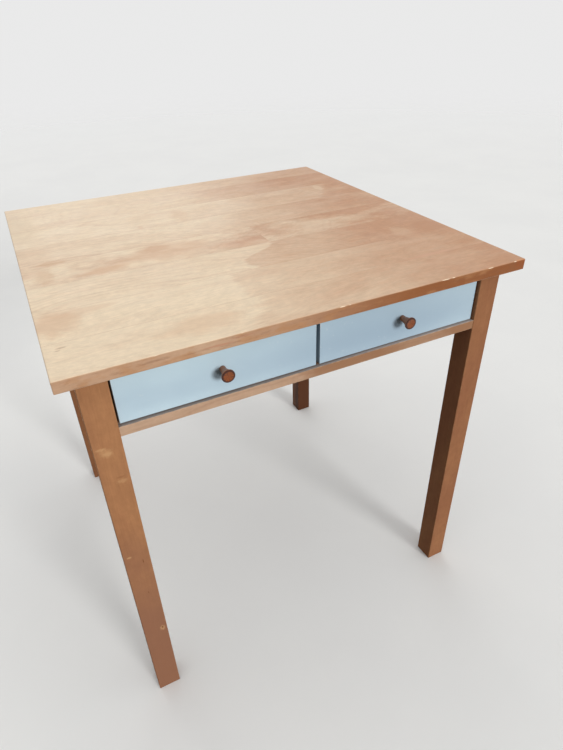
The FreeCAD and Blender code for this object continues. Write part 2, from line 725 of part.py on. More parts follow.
def make_drawer_side(name, side, low_x):
    """A drawer side: a dovetail at its front end, and grooves for the bottom and the back."""
    tail, end = "Sizes.dovetail_length", "(Sizes.dovetail_length + Sizes.side_length)"
    middle = "(Sizes.side_thickness / 2)"
    corners = dovetail_corners(middle, tail, "0", "0") + [
        ("Sizes.side_thickness", tail),
        ("Sizes.side_thickness", end),
        ("0", end),
        ("0", tail),
    ]
    piece = shaped_board(
        f"{name}_{SIDE_NAMES[side]}_side",
        (low_x, f"({FRONT_REAR_Y} - Sizes.dovetail_length)", SIDE_BOTTOM_Z),
        corners,
        SIDE_HEIGHT,
    )
    inner_face = low_x if side == RIGHT else f"({low_x} + Sizes.side_thickness)"
    groove_x = inner_face if side == RIGHT else f"({inner_face} - Sizes.groove_depth)"
    box_feature(
        piece,
        "Subtractive",
        (groove_x, f"({FRONT_REAR_Y} - {tail})", GROOVE_BOTTOM_Z),
        ("Sizes.groove_depth", end, GROOVE_WIDTH),
    )
    dado_x = inner_face if side == RIGHT else f"({inner_face} - Sizes.dado_depth)"
    dado_width = "Sizes.back_thickness + 2 * Sizes.fit_gap"
    box_feature(
        piece,
        "Subtractive",
        (dado_x, f"({BACK_FRONT_Y} - Sizes.fit_gap)", PANEL_TOP_Z),
        ("Sizes.dado_depth", dado_width, f"{SIDE_TOP_Z} - {PANEL_TOP_Z}"),
    )
    return piece


def make_knob(name, middle_x, middle_z):
    """The turned knob: a stem, a flare and a thick face with a rounded edge and a shallow dish."""
    body = doc.addObject("PartDesign::Body", f"{name}_knob")
    stem, flare, face = "Sizes.knob_stem / 2", "Sizes.knob_flare / 2", "Sizes.knob_face / 2"
    lip_start = "(Sizes.knob_length - Sizes.knob_lip)"
    profile = outline(
        body,
        "XZ_Plane",
        [
            ("0", "0"),
            (stem, "0"),
            (stem, "Sizes.knob_neck"),
            (flare, lip_start),
            (face, f"{lip_start} + Sizes.knob_shoulder"),
            (face, "Sizes.knob_length - Sizes.knob_edge"),
            (f"{face} - Sizes.knob_edge", "Sizes.knob_length"),
            ("Sizes.knob_dish_flat / 2", "Sizes.knob_length - Sizes.knob_dish"),
            ("0", "Sizes.knob_length - Sizes.knob_dish"),
        ],
        {2: "-Sizes.knob_flare_bow", 5: "Sizes.knob_edge", 6: "-Sizes.knob_dish_bow"},
    )
    turning = body.newObject("PartDesign::Revolution", f"{body.Name}_turning")
    turning.Profile = profile
    turning.ReferenceAxis = (profile, ["V_Axis"])
    turning.Angle = 360
    socket = body.newObject("PartDesign::SubtractivePrism", f"{body.Name}_socket")
    socket.Polygon = BORE_SIDES
    socket.setExpression("Circumradius", "Sizes.knob_bolt / 2 + Sizes.fit_gap")
    socket.setExpression("Height", "Sizes.knob_bolt_bite + Sizes.fit_gap")
    put(body, (middle_x, FRONT_FACE_Y, middle_z), (0, -1, 0))


def bolt_shape(length):
    """A round-headed machine screw, with its head below the start and its shank above it."""
    head, head_height = number("Sizes.knob_bolt_head / 2"), number("Sizes.knob_bolt_head_height")
    shank = number("Sizes.knob_bolt / 2")
    shoulder = head_height / 2
    cap = flat_sided([(head - shoulder, -head_height), (head, -shoulder), (head, 0)])
    return cap.fuse(flat_sided([(shank, 0), (shank, length)])).removeSplitter()


def make_knob_bolt(name, front, middle_x, middle_z):
    """The machine screw that holds the knob from inside the drawer."""
    point, forwards = (middle_x, FRONT_REAR_Y, middle_z), (0, -1, 0)
    bore(front, point, forwards, "Sizes.knob_bolt", "Sizes.front_thickness")
    bolt = Fastener(point, forwards, "Sizes.front_thickness + Sizes.knob_bolt_bite")
    add_group(f"{name}_knob_bolt", [bolt], bolt_shape)


def make_drawer(place):
    """One whole drawer: front, box, bottom and knob."""
    name = f"{SIDE_NAMES[place]}_drawer"
    low_x = low_end(place, FRONT_NEAR_X, FRONT_FAR_X)
    width = f"({FRONT_FAR_X} - {FRONT_NEAR_X})"
    middle_x = signed(place, FRONT_MIDDLE_X)
    middle_z = f"({FRONT_BOTTOM_Z} + {FRONT_HEIGHT} / 2)"
    box_low, box_high = f"({low_x} + Sizes.box_inset)", f"({low_x} + {width} - Sizes.box_inset)"
    side_lows = {LEFT: box_low, RIGHT: f"({box_high} - Sizes.side_thickness)"}
    side_middles = [f"({low} + Sizes.side_thickness / 2)" for low in side_lows.values()]
    inner_low = f"({box_low} + Sizes.side_thickness)"
    inner_width = f"({box_high} - {box_low} - 2 * Sizes.side_thickness)"
    front = make_drawer_front(name, low_x, width, side_middles)
    for side, low in side_lows.items():
        make_drawer_side(name, side, low)
    housed = "(Sizes.dado_depth - Sizes.fit_gap)"
    back = board(
        f"{name}_back",
        (f"({inner_low} - {housed})", BACK_FRONT_Y, PANEL_TOP_Z),
        (f"{inner_width} + 2 * {housed}", "Sizes.back_thickness", f"{SIDE_TOP_Z} - {PANEL_TOP_Z}"),
    )
    held = "(Sizes.groove_depth - Sizes.panel_gap)"
    bottom = board(
        f"{name}_bottom",
        (f"({inner_low} - {held})", f"({FRONT_REAR_Y} - {held})", PANEL_BOTTOM_Z),
        (
            f"{inner_width} + 2 * {held}",
            f"{BACK_REAR_Y} - {FRONT_REAR_Y} + {held}",
            "Sizes.bottom_thickness",
        ),
    )
    pins = []
    for place_x in spaced(inner_low, f"({inner_low} + {inner_width})", 2):
        point = (place_x, f"({BACK_FRONT_Y} + Sizes.back_thickness / 2)", PANEL_BOTTOM_Z)
        bite = "Sizes.back_thickness"
        screw_joint(pins, bottom, back, point, (0, 0, 1), "Sizes.bottom_thickness", bite, "pin")
    add_screws(f"{name}_bottom_screws", pins, "pin")
    make_knob(name, middle_x, middle_z)
    make_knob_bolt(name, front, middle_x, middle_z)


def sub_parts():
    """Every labelled piece: the bodies and the groups of fasteners."""
    kinds = ("PartDesign::Body", "Part::Feature")
    return [item for item in doc.Objects if item.TypeId in kinds]


def check_model():
    """Stops the build when a feature failed, a cut removed nothing or a shape is not sound."""
    for item in doc.Objects:
        if "Invalid" in item.State or "Error" in item.State:
            raise RuntimeError(f"{item.Name} failed: {item.State}")
        if item.TypeId.startswith("PartDesign::Subtractive"):
            if item.Shape.Volume >= item.BaseFeature.Shape.Volume:
                raise RuntimeError(f"{item.Name} cuts nothing")
    for piece in sub_parts():
        if piece.Shape.isNull() or not piece.Shape.isValid():
            raise RuntimeError(f"{piece.Label} has no sound shape")


def write_parts():
    """One file for each sub-part, under its label."""
    os.makedirs("parts", exist_ok=True)
    for piece in sub_parts():
        piece.Shape.exportStep(f"parts/{piece.Label}.step")
        print(piece.Label, len(piece.Shape.Solids), round(piece.Shape.Volume))


make_frame()
for place in (LEFT, RIGHT):
    make_drawer(place)
doc.recompute()
check_model()
write_parts()
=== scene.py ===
# %% [markdown]
# # A kitchen table with two drawers
#
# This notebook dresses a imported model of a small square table: a laminated birch top on four
# straight legs, two light-blue drawers side by side under its front edge, and a turned knob on each.
# The boards already have their true sizes and joints. What is added here is how they look: the
# staves and the growth rings of the wood, the paint, the turned knobs, the wear, and soft light.
#
# Everything is in metres. X runs to the right along the drawer side, Y to the back and Z up.
# The origin is on the floor under the middle of the top.

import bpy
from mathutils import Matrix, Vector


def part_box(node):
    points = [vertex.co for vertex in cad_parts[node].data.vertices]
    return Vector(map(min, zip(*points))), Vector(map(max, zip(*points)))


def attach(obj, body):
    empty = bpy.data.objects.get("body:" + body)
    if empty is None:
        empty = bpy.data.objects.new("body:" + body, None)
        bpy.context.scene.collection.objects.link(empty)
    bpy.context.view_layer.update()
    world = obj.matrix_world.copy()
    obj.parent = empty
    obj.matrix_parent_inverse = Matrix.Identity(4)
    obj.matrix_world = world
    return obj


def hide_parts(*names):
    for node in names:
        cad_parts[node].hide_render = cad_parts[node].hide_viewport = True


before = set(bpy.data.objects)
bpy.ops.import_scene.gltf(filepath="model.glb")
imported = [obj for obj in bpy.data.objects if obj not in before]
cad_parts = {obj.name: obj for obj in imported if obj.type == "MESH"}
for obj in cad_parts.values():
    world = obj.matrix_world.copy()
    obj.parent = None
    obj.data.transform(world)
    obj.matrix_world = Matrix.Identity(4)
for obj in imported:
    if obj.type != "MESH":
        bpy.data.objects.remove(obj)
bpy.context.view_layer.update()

# %% The other libraries
import math
from collections import namedtuple

import bmesh
import bpy
import numpy as np
from mathutils import Euler, Vector

MM = 0.001
print("numpy", np.__version__, "and one millimetre is", MM, "m")

# %% [markdown]
# ## Colours as they are written
#
# Blender's usual view softens bright colours. The plain one, Standard, shows a colour on the
# screen as the material gives it, so a paint or a wood can be matched by its numbers.

# %% View
bpy.context.scene.view_settings.view_transform = "Standard"
print("view:", bpy.context.scene.view_settings.view_transform)

# %% [markdown]
# ## The camera
#
# The camera stands where the photograph was taken from: to the left of the table, a good metre up,
# turned to the right and tipped down. Its place and turn were worked out from the straight edges
# of the table, whose sizes are known. A portrait picture in Blender takes the sensor's width as
# its long side, so the lens is the focal length in pixels times 36 mm over the picture's height.

# %% Camera
PICTURE_HEIGHT = 750
SENSOR_WIDTH = 36
FOCAL_LENGTH_IN_PIXELS = 548.4
CAMERA_PLACE = (-0.3569, -0.9516, 1.0910)
CAMERA_TURN_DEGREES = (56.230, 1.418, -26.665)

camera_data = bpy.data.cameras.new("camera")
camera_data.sensor_width = SENSOR_WIDTH
camera_data.lens = FOCAL_LENGTH_IN_PIXELS * SENSOR_WIDTH / PICTURE_HEIGHT
camera = bpy.data.objects.new("camera", camera_data)
camera.location = CAMERA_PLACE
camera.rotation_euler = [math.radians(turn) for turn in CAMERA_TURN_DEGREES]
bpy.context.scene.collection.objects.link(camera)
bpy.context.scene.camera = camera
print("lens:", round(camera_data.lens, 2), "mm")

# %% [markdown]
# ## Small helpers for shader nodes
#
# A material is a graph of small nodes. One helper places a node and fills its sockets, and takes
# either a plain value or another node's output for each of them. The others write arithmetic, a
# soft step, which is the shape of most masks, a mix of two colours, and noise. A Layer is what most
# finishes are built from: a noise, the soft step that makes a mask of it, and the tint it lays on.

# %% Node helpers
Noise = namedtuple("Noise", "lumps detail roughness", defaults=(2.0, 0.5))
Layer = namedtuple("Layer", "noise step tint")
# Nearly all of a noise lies between these two values, and its middle is here.
MOST_NOISE = (0.3, 0.7)
NOISE_MIDDLE = 0.5


def fill_sockets(tree, node, inputs):
    """Gives each input, named or numbered, a plain value or a link from another node's output."""
    for name, value in inputs.items():
        if isinstance(value, bpy.types.NodeSocket):
            tree.links.new(value, node.inputs[name])
        else:
            node.inputs[name].default_value = value


def place(tree, kind, inputs=None, **options):
    """Adds a node, sets its options and fills its inputs."""
    node = tree.nodes.new(kind)
    for option, choice in options.items():
        setattr(node, option, choice)
    fill_sockets(tree, node, inputs or {})
    return node


def calculate(tree, operation, *values):
    """One step of arithmetic on numbers or sockets."""
    return place(tree, "ShaderNodeMath", dict(enumerate(values)), operation=operation).outputs[0]


def on_vectors(tree, operation, *values, output="Vector"):
    """One step of arithmetic on vectors."""
    node = place(tree, "ShaderNodeVectorMath", dict(enumerate(values)), operation=operation)
    return node.outputs[output]


def split(tree, vector):
    """The X, Y and Z parts of a vector."""
    return place(tree, "ShaderNodeSeparateXYZ", {0: vector}).outputs


def soft_step(tree, value, start, end, low=0.0, high=1.0):
    """Goes smoothly from low to high while the value goes from start to end."""
    inputs = {"Value": value, 1: start, 2: end, 3: low, 4: high}
    return place(tree, "ShaderNodeMapRange", inputs, interpolation_type="SMOOTHSTEP").outputs[0]


def blend(tree, share, first, second, kind="MIX"):
    """The first colour, with a share of the second one mixed or multiplied in."""
    inputs = {0: share, 6: first, 7: second}
    return place(tree, "ShaderNodeMix", inputs, data_type="RGBA", blend_type=kind).outputs[2]


def cloud(tree, vector, noise, output="Fac"):
    """Noise with so many lumps per metre, one number for all axes or one for each of them."""
    spread = on_vectors(tree, "MULTIPLY", vector, np.broadcast_to(noise.lumps, 3))
    inputs = {"Vector": spread, "Scale": 1.0, "Detail": noise.detail, "Roughness": noise.roughness}
    return place(tree, "ShaderNodeTexNoise", inputs).outputs[output]


def sway(tree, noise, share, value):
    """Moves a value up and down: the noise less its middle, times a share, plus the value."""
    around = calculate(tree, "SUBTRACT", noise, NOISE_MIDDLE)
    return calculate(tree, "MULTIPLY_ADD", around, share, value)


def lay(tree, base, mask, share, tint):
    """The base colour, with the tint laid over it as strongly as the mask times the share."""
    return blend(tree, calculate(tree, "MULTIPLY", mask, share), base, tint)


def lay_cloud(tree, vector, base, layer):
    """The base colour, with a layer's tint where its noise passes through its soft step."""
    return blend(tree, soft_step(tree, cloud(tree, vector, layer.noise), *layer.step), base, layer.tint)


def colour(red, green, blue):
    """A colour written as a screen shows it, from 0 to 255, turned into light by the sRGB curve."""
    shares = [part / 255 for part in (red, green, blue)]
    light = [s / 12.92 if s <= 0.04045 else ((s + 0.055) / 1.055) ** 2.4 for s in shares]
    return (*light, 1.0)


print("white in light:", colour(255, 255, 255))

# %% [markdown]
# A shader group is a graph with named inputs and outputs that several materials share. In
# Blender 4.5 its sockets belong to the group's interface.

# %% Group helper
VECTOR, NUMBER, COLOUR = "NodeSocketVector", "NodeSocketFloat", "NodeSocketColor"


def start_group(name, inputs, outputs):
    """A new group, the sockets that bring its inputs, and the sockets that take its outputs."""
    group = bpy.data.node_groups.new(name, "ShaderNodeTree")
    for direction, sockets in (("INPUT", inputs), ("OUTPUT", outputs)):
        for label, kind in sockets.items():
            group.interface.new_socket(label, in_out=direction, socket_type=kind)
    given = group.nodes.new("NodeGroupInput").outputs
    wanted = group.nodes.new("NodeGroupOutput").inputs
    return group, given, wanted


def use_group(tree, group, inputs):
    """Places a group in a tree and gives back its outputs."""
    return place(tree, "ShaderNodeGroup", inputs, node_tree=group).outputs


print("a group's sockets:", VECTOR, NUMBER, COLOUR)

# %% [markdown]
# ## Solid wood
#
# A board is cut from a trunk, so its grain is one solid pattern that runs right through it: lines on
# its faces, arches where the saw nearly followed a ring, and curved rings on its ends. The group
# below works in the wood's own frame, with X along the grain from the board's middle, and the pith
# (the middle of the trunk) on the X axis. A point's ring is its distance from the pith over the
# width of a ring. Taper tilts the pith and Bend bows it, so that the rings come to the surface one
# after another: as arches where the trunk tapers, and as long nested loops where it is bowed.
#
# Noise makes that look grown, and Seed gives each board its own. A slow one lets the pith wander,
# and a finer one makes the years uneven. Four more lie along the wandering rings: long streaks,
# hair-thin fibres, short flecks, and curl, which is the mottled look of wavy fibres. A round one
# gives the cloudy change from pale to tan.

# %% Group: solid wood
# The lumps of each noise, along and across the grain, and then its detail and its roughness.
PITH_DRIFT = Noise((2.4, 6.0, 6.0), 2.5)
YEAR_SHIVER = Noise((9.0, 70.0, 70.0))
STREAKS = Noise((2.6, 48.0, 48.0), 4.0, 0.6)
CLOUDS = Noise((7.0, 16.0, 16.0), 5.0, 0.66)
FIBRES = Noise((18.0, 380.0, 380.0), 3.0, 0.6)
FLECKS = Noise((60.0, 170.0, 170.0), 3.0, 0.7)
CURL = Noise((62.0, 60.0, 60.0), 4.0, 0.75)
# How far noise moves a year, where in a year it darkens and ends, and how dark each year's luck lets
# it be. Each of the three is a soft step: its start and end, then what it goes from and to.
YEAR_SHIVER_SHARE = 0.7
YEAR_DARKENS = (0.5, 0.9, 0.0, 1.0)
YEAR_ENDS = (0.9, 1.0, 1.0, 0.0)
YEAR_LUCK = (0.1, 1.0, 0.12, 1.0)
# The darkest and the palest shade of the fibres and flecks, and of the curl.
FIBRE_SHADES = (0.96, 1.03)
CURL_SHADES = (0.95, 1.035)
# How high the late wood stands beside the fibres.
LATE_HEIGHT_SHARE = 0.4


def wander_about(wood, given, vector):
    """The point, pushed across the rings by a slow noise as strongly as Wander says."""
    drift = cloud(wood, vector, PITH_DRIFT, output="Color")
    drift = on_vectors(wood, "SUBTRACT", drift, (NOISE_MIDDLE,) * 3)
    pushed = place(wood, "ShaderNodeVectorMath", {0: drift, "Scale": given["Wander"]}, operation="SCALE")
    return on_vectors(wood, "ADD", given["Vector"], pushed.outputs["Vector"])


def distance_from_pith(wood, given, point):
    """The length across the grain to the pith, which lies lower by X times (Bend times X plus Taper)."""
    along, aside, up = split(wood, point)
    slope = calculate(wood, "MULTIPLY_ADD", along, given["Bend"], given["Taper"])
    depth = calculate(wood, "MULTIPLY_ADD", along, slope, up)
    across = place(wood, "ShaderNodeCombineXYZ", {"Y": aside, "Z": depth}).outputs[0]
    return on_vectors(wood, "LENGTH", across, output="Value")


def late_wood(wood, given, vector, radius):
    """How late in its year a point is, and the same times the luck of the year.

    A year is pale for long and darker at its end, and then changes quickly. No two are equally dark.
    """
    shiver = calculate(wood, "MULTIPLY", cloud(wood, vector, YEAR_SHIVER), YEAR_SHIVER_SHARE)
    years = calculate(wood, "ADD", calculate(wood, "DIVIDE", radius, given["Ring Width"]), shiver)
    season = calculate(wood, "FRACT", years)
    darkens, ends = (soft_step(wood, season, *step) for step in (YEAR_DARKENS, YEAR_ENDS))
    late = calculate(wood, "MULTIPLY", darkens, ends)
    year_number = calculate(wood, "FLOOR", years)
    luck = place(wood, "ShaderNodeTexWhiteNoise", {"W": year_number}, noise_dimensions="1D").outputs["Value"]
    return late, calculate(wood, "MULTIPLY", late, soft_step(wood, luck, *YEAR_LUCK))


def make_solid_wood():
    """Pale to tan by the tone, then to the line's colour by the rings, then times the fibres' shade."""
    colours = dict.fromkeys(("Pale", "Tan", "Line"), COLOUR)
    numbers = ("Seed", "Tone", "Ring Width", "Ring Strength", "Wander", "Taper", "Bend", "Streaks", "Clouds")
    inputs = {"Vector": VECTOR, **colours, **dict.fromkeys(numbers, NUMBER)}
    wood, given, wanted = start_group("solid_wood", inputs, {"Color": COLOUR, "Height": NUMBER})
    away = place(wood, "ShaderNodeCombineXYZ", {"X": given["Seed"]}).outputs[0]
    vector = on_vectors(wood, "ADD", given["Vector"], away)
    moved = wander_about(wood, given, vector)
    flowing = on_vectors(wood, "ADD", moved, away)
    late, ring = late_wood(wood, given, vector, distance_from_pith(wood, given, moved))

    tone = sway(wood, cloud(wood, flowing, STREAKS), given["Streaks"], given["Tone"])
    tone = sway(wood, cloud(wood, vector, CLOUDS), given["Clouds"], tone)
    body = blend(wood, tone, given["Pale"], given["Tan"])
    lined = lay(wood, body, ring, given["Ring Strength"], given["Line"])

    fibres = cloud(wood, flowing, FIBRES)
    shade = soft_step(wood, fibres, *MOST_NOISE, *FIBRE_SHADES)
    for noise, shades in ((FLECKS, FIBRE_SHADES), (CURL, CURL_SHADES)):
        own = soft_step(wood, cloud(wood, flowing, noise), *MOST_NOISE, *shades)
        shade = calculate(wood, "MULTIPLY", shade, own)
    grey = place(wood, "ShaderNodeCombineColor", dict.fromkeys(range(3), shade)).outputs[0]
    wood.links.new(blend(wood, 1.0, lined, grey, kind="MULTIPLY"), wanted["Color"])
    wood.links.new(calculate(wood, "MULTIPLY_ADD", late, LATE_HEIGHT_SHARE, fibres), wanted["Height"])
    return wood


solid_wood = make_solid_wood()
print("group:", solid_wood.name, len(solid_wood.nodes), "nodes")

# %% [markdown]
# ## Worn edges
#
# Hands, chairs and brooms rub a table along its edges first. The edge of a board can be found
# without its mesh: measure how far the point is inside each of the box's three pairs of faces, and
# take the middle one of the three. On a flat face only one distance is nearly nothing; on an edge
# two are, so the middle one falls to nothing there too. Noise breaks the rim up.

# %% Group: worn edges
WEAR_NOISE = Noise(70.0, 4.0, 0.65)
# Soft steps: how many times its width the wear reaches, by the noise, and how it fades.
WEAR_REACH = (0.42, 0.72, 0.15, 2.2)
WEAR_FADE = (0.0, 0.7)


def make_worn_edges():
    """A mask that is 1 on the edges of a box and fades over a ragged width."""
    inputs = {**dict.fromkeys(("Vector", "Middle", "Half Size"), VECTOR), "Width": NUMBER}
    worn, given, wanted = start_group("worn_edges", inputs, {"Mask": NUMBER})
    away = on_vectors(worn, "ABSOLUTE", on_vectors(worn, "SUBTRACT", given["Vector"], given["Middle"]))
    x, y, z = split(worn, on_vectors(worn, "SUBTRACT", given["Half Size"], away))
    lower, higher = calculate(worn, "MINIMUM", x, y), calculate(worn, "MAXIMUM", x, y)
    middle = calculate(worn, "MAXIMUM", lower, calculate(worn, "MINIMUM", higher, z))
    times = soft_step(worn, cloud(worn, given["Vector"], WEAR_NOISE), *WEAR_REACH)
    reach = calculate(worn, "MULTIPLY", given["Width"], times)
    mask = calculate(worn, "SUBTRACT", 1.0, calculate(worn, "DIVIDE", middle, reach))
    worn.links.new(soft_step(worn, mask, *WEAR_FADE), wanted["Mask"])
    return worn


worn_edges = make_worn_edges()
print("group:", worn_edges.name)

# %% [markdown]
# ## Single marks
#
# A knot, a stain or a scratch is one soft spot at a known place. The group measures the distance
# from the middle of the spot, stretched by its reach along each axis and frayed by noise.

# %% Group: mark
# The noise has so many lumps in one reach, and moves the rim in and out by so many reaches.
MARK_NOISE = Noise(1.7, 3.0, 0.6)
MARK_FRAY = 1.2
MARK_FADE = (0.35, 1.0, 1.0, 0.0)


def make_mark():
    """A mask that is 1 in the middle of a spot and 0 outside its reach."""
    inputs = dict.fromkeys(("Vector", "Middle", "Reach"), VECTOR)
    mark, given, wanted = start_group("mark", inputs, {"Mask": NUMBER})
    away = on_vectors(mark, "SUBTRACT", given["Vector"], given["Middle"])
    away = on_vectors(mark, "DIVIDE", away, given["Reach"])
    distance = on_vectors(mark, "LENGTH", away, output="Value")
    frayed = sway(mark, cloud(mark, away, MARK_NOISE), MARK_FRAY, distance)
    mark.links.new(soft_step(mark, frayed, *MARK_FADE), wanted["Mask"])
    return mark


mark = make_mark()
print("group:", mark.name)

# %% Laying marks
AXIS_NUMBERS = {"X": 0, "Y": 1, "Z": 2}


def marks_on(axis, level, depth, rows):
    """Marks on a flat face across one axis, at a level and reaching so deep, both in metres.

    A row gives the middle and then the reach along the two other axes, all four in millimetres,
    and after them the strength and the tint.
    """
    marks = []
    for first, second, first_reach, second_reach, strength, tint in rows:
        middle = np.insert(np.array([first, second]) * MM, AXIS_NUMBERS[axis], level)
        reach = np.insert(np.array([first_reach, second_reach]) * MM, AXIS_NUMBERS[axis], depth)
        marks.append((middle, reach, strength, tint))
    return marks


def lay_marks(tree, coordinates, base, marks):
    """Mixes each mark's colour into the base colour at its own place."""
    for middle, reach, strength, tint in marks:
        given = {"Vector": coordinates, "Middle": middle, "Reach": reach}
        mask = use_group(tree, mark, given)["Mask"]
        base = lay(tree, base, mask, strength, tint)
    return base


print("a face lies across one of the axes", *AXIS_NUMBERS)

# %% [markdown]
# ## A finish for each kind of wood
#
# All the woods share one recipe: turn the point into the wood's own frame, take the grain there,
# lay the marks over it, lighten the worn edges, and put a thin satin lacquer on top. A Mapping
# node turns the board's long side onto the grain's X axis and puts its middle beside the pith. A
# pith far to one side gives straight lines on one face and a broad flame on the next one.

# %% Wood recipe
ALONG_X = (0.0, 0.0, 0.0)
ALONG_Y = (0.0, 0.0, -math.pi / 2)
ALONG_Z = (0.0, math.pi / 2, 0.0)
WORN_SHARE = 0.3
# The lacquer's smears are this much smoother and duller than the rest of it.
SMEARS = Noise(14.0, 4.0, 0.6)
SMOOTHER = 0.05
DULLER = 0.07
GRAIN_BUMP = (0.35, 0.05 * MM)
PLAIN_SHINE = 0.5

# What a kind of wood doesn't say about itself it takes from the defaults.
GRAIN_DEFAULTS = {
    "ring_width": 3.2 * MM,
    "ring_strength": 0.3,
    "wander": 0.05,
    "taper": 0.03,
    "bend": 0.05,
    "streaks": 0.8,
    "clouds": 0.5,
}
FINISH_DEFAULTS = {"roughness": 0.42, "shine": 0.3, "wear_width": 1.6 * MM}
DEFAULTS = {**GRAIN_DEFAULTS, **FINISH_DEFAULTS}
Wood = namedtuple("Wood", ["pale", "tan", "line", "bare", *DEFAULTS], defaults=DEFAULTS.values())


def new_material(name):
    """An empty material, its tree, its shader and the object's own coordinates."""
    material = bpy.data.materials.new(name)
    material.use_nodes = True
    tree = material.node_tree
    shader = tree.nodes["Principled BSDF"]
    coordinates = place(tree, "ShaderNodeTexCoord").outputs["Object"]
    return material, tree, shader, coordinates


def join_surface(tree, shader, base, roughness, height, bump, shine=PLAIN_SHINE, metallic=0.0):
    """Links the colour, the roughness and the bump, and sets shine and metal on the shader itself.

    The bump is its strength, and the depth in metres that a height of 1 stands for.
    """
    strength, depth = bump
    inputs = {"Strength": strength, "Distance": depth, "Height": height}
    normal = place(tree, "ShaderNodeBump", inputs).outputs["Normal"]
    fill_sockets(tree, shader, {"Base Color": base, "Roughness": roughness, "Normal": normal})
    fill_sockets(tree, shader, {"Specular IOR Level": shine, "Metallic": metallic})


def wood_grain(tree, wood, vector, seed, tone, **own):
    """The wood's colour and height at a point of the trunk. A board may have values of its own."""
    values = {name: getattr(wood, name) for name in ("pale", "tan", "line", *GRAIN_DEFAULTS)}
    values.update(vector=vector, seed=seed, tone=tone, **own)
    return use_group(tree, solid_wood, {name.replace("_", " ").title(): values[name] for name in values})


def wear_mask(tree, coordinates, low, high, width):
    """The worn edges of the box between two corners."""
    middle, half = (low + high) / 2, (high - low) / 2
    given = {"Vector": coordinates, "Middle": middle, "Half Size": half, "Width": width}
    return use_group(tree, worn_edges, given)["Mask"]


def lacquer(tree, shader, coordinates, wood, base, height, bump=GRAIN_BUMP):
    """Satin lacquer over the colour: a roughness that varies a little, and a fine bump."""
    smears = cloud(tree, coordinates, SMEARS)
    gloss = soft_step(tree, smears, *MOST_NOISE, wood.roughness - SMOOTHER, wood.roughness + DULLER)
    join_surface(tree, shader, base, gloss, height, bump, wood.shine)


def board_frame(tree, coordinates, node, grain, pith):
    """The point in the board's own frame: X along the grain from the board's middle."""
    low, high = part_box(node)
    moved = Vector((0.0, *pith)) - Euler(grain).to_matrix() @ ((low + high) / 2)
    inputs = {"Vector": coordinates, "Location": moved, "Rotation": grain}
    return place(tree, "ShaderNodeMapping", inputs).outputs[0]


def wooden(node, wood, grain, seed, pith, tone, marks):
    """The material of one board. The pith lies that far to the side of the board's middle and below."""
    material, tree, shader, coordinates = new_material(f"{node}_wood")
    vector = board_frame(tree, coordinates, node, grain, pith)
    figure = wood_grain(tree, wood, vector, seed, tone)
    base = lay_marks(tree, coordinates, figure["Color"], marks)
    worn = wear_mask(tree, coordinates, *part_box(node), wood.wear_width)
    base = lay(tree, base, worn, WORN_SHARE, wood.bare)
    lacquer(tree, shader, coordinates, wood, base, figure["Height"])
    return material


print("a wood's values:", *Wood._fields)

# %% [markdown]
# The top is birch, pale and barely figured. The legs and the aprons are stained a reddish brown,
# and the rails are paler. The back legs are darkest of all: their wood is a darker copy, painted
# shade under the table. The strips under the top and the drawer boxes, which are hidden while the
# drawers are closed, are plain pale wood.

# %% Kinds of wood
LEG_GRAIN = {"ring_width": 3.0 * MM, "clouds": 1.1, "streaks": 0.4, "wander": 0.03, "taper": 0.015}
TOP_BIRCH = Wood(
    pale=colour(229, 208, 178),
    tan=colour(192, 146, 113),
    line=colour(182, 130, 96),
    bare=colour(240, 220, 192),
    taper=0.0,
    streaks=0.32,
    shine=0.2,
)
# A darker copy of the legs' wood for the back legs: painted shade under the table.
SHADED_BACK_LEG_WOOD = Wood(
    pale=colour(150, 104, 70),
    tan=colour(116, 74, 50),
    line=colour(96, 58, 38),
    bare=colour(164, 120, 86),
    ring_strength=0.1,
    roughness=0.5,
    shine=0.12,
    **LEG_GRAIN,
)
LEG_WOOD = Wood(
    pale=colour(182, 131, 90),
    tan=colour(152, 103, 73),
    line=colour(126, 76, 46),
    bare=colour(192, 144, 102),
    ring_strength=0.07,
    roughness=0.6,
    shine=0.03,
    **LEG_GRAIN,
)
APRON_WOOD = Wood(
    pale=colour(200, 152, 112),
    tan=colour(172, 122, 84),
    line=colour(142, 94, 62),
    bare=colour(212, 168, 128),
    ring_width=4.0 * MM,
    ring_strength=0.16,
    clouds=0.9,
    streaks=0.5,
    taper=0.015,
    roughness=0.55,
    shine=0.12,
)
RAIL_WOOD = Wood(
    pale=colour(204, 171, 143),
    tan=colour(170, 129, 101),
    line=colour(146, 102, 76),
    bare=colour(214, 182, 150),
    ring_width=2.6 * MM,
    wander=0.02,
    taper=0.01,
    shine=0.25,
)
STRIP_WOOD = Wood(
    pale=colour(219, 187, 145),
    tan=colour(192, 153, 110),
    line=colour(163, 121, 82),
    bare=colour(228, 202, 164),
    roughness=0.62,
    shine=0.15,
)
BOX_WOOD = Wood(
    pale=colour(226, 201, 163),
    tan=colour(204, 172, 130),
    line=colour(178, 142, 102),
    bare=colour(234, 214, 182),
    ring_width=2.8 * MM,
    roughness=0.55,
    shine=0.2,
)
print("top birch ring width:", TOP_BIRCH.ring_width, "m")

# %% [markdown]
# ## The laminated top
#
# The real top is glued up from wide staves that run along the drawer side. Each stave is a board of
# its own, so the figure and the tone jump at every glue line. The staves are one rigid board in the
# model. Here the top is made anew as one closed shell, so that each stave can carry its own place
# in the trunk, and so that the front edge can be dented where it was knocked.
#
# The shape is a box rolled out by a small ball. Every point of the shell is a point of a smaller
# inner box plus the ball's radius times a direction. Going round the board gives the direction
# across (front, top, back, underside); going along it, the ends turn the direction towards X.

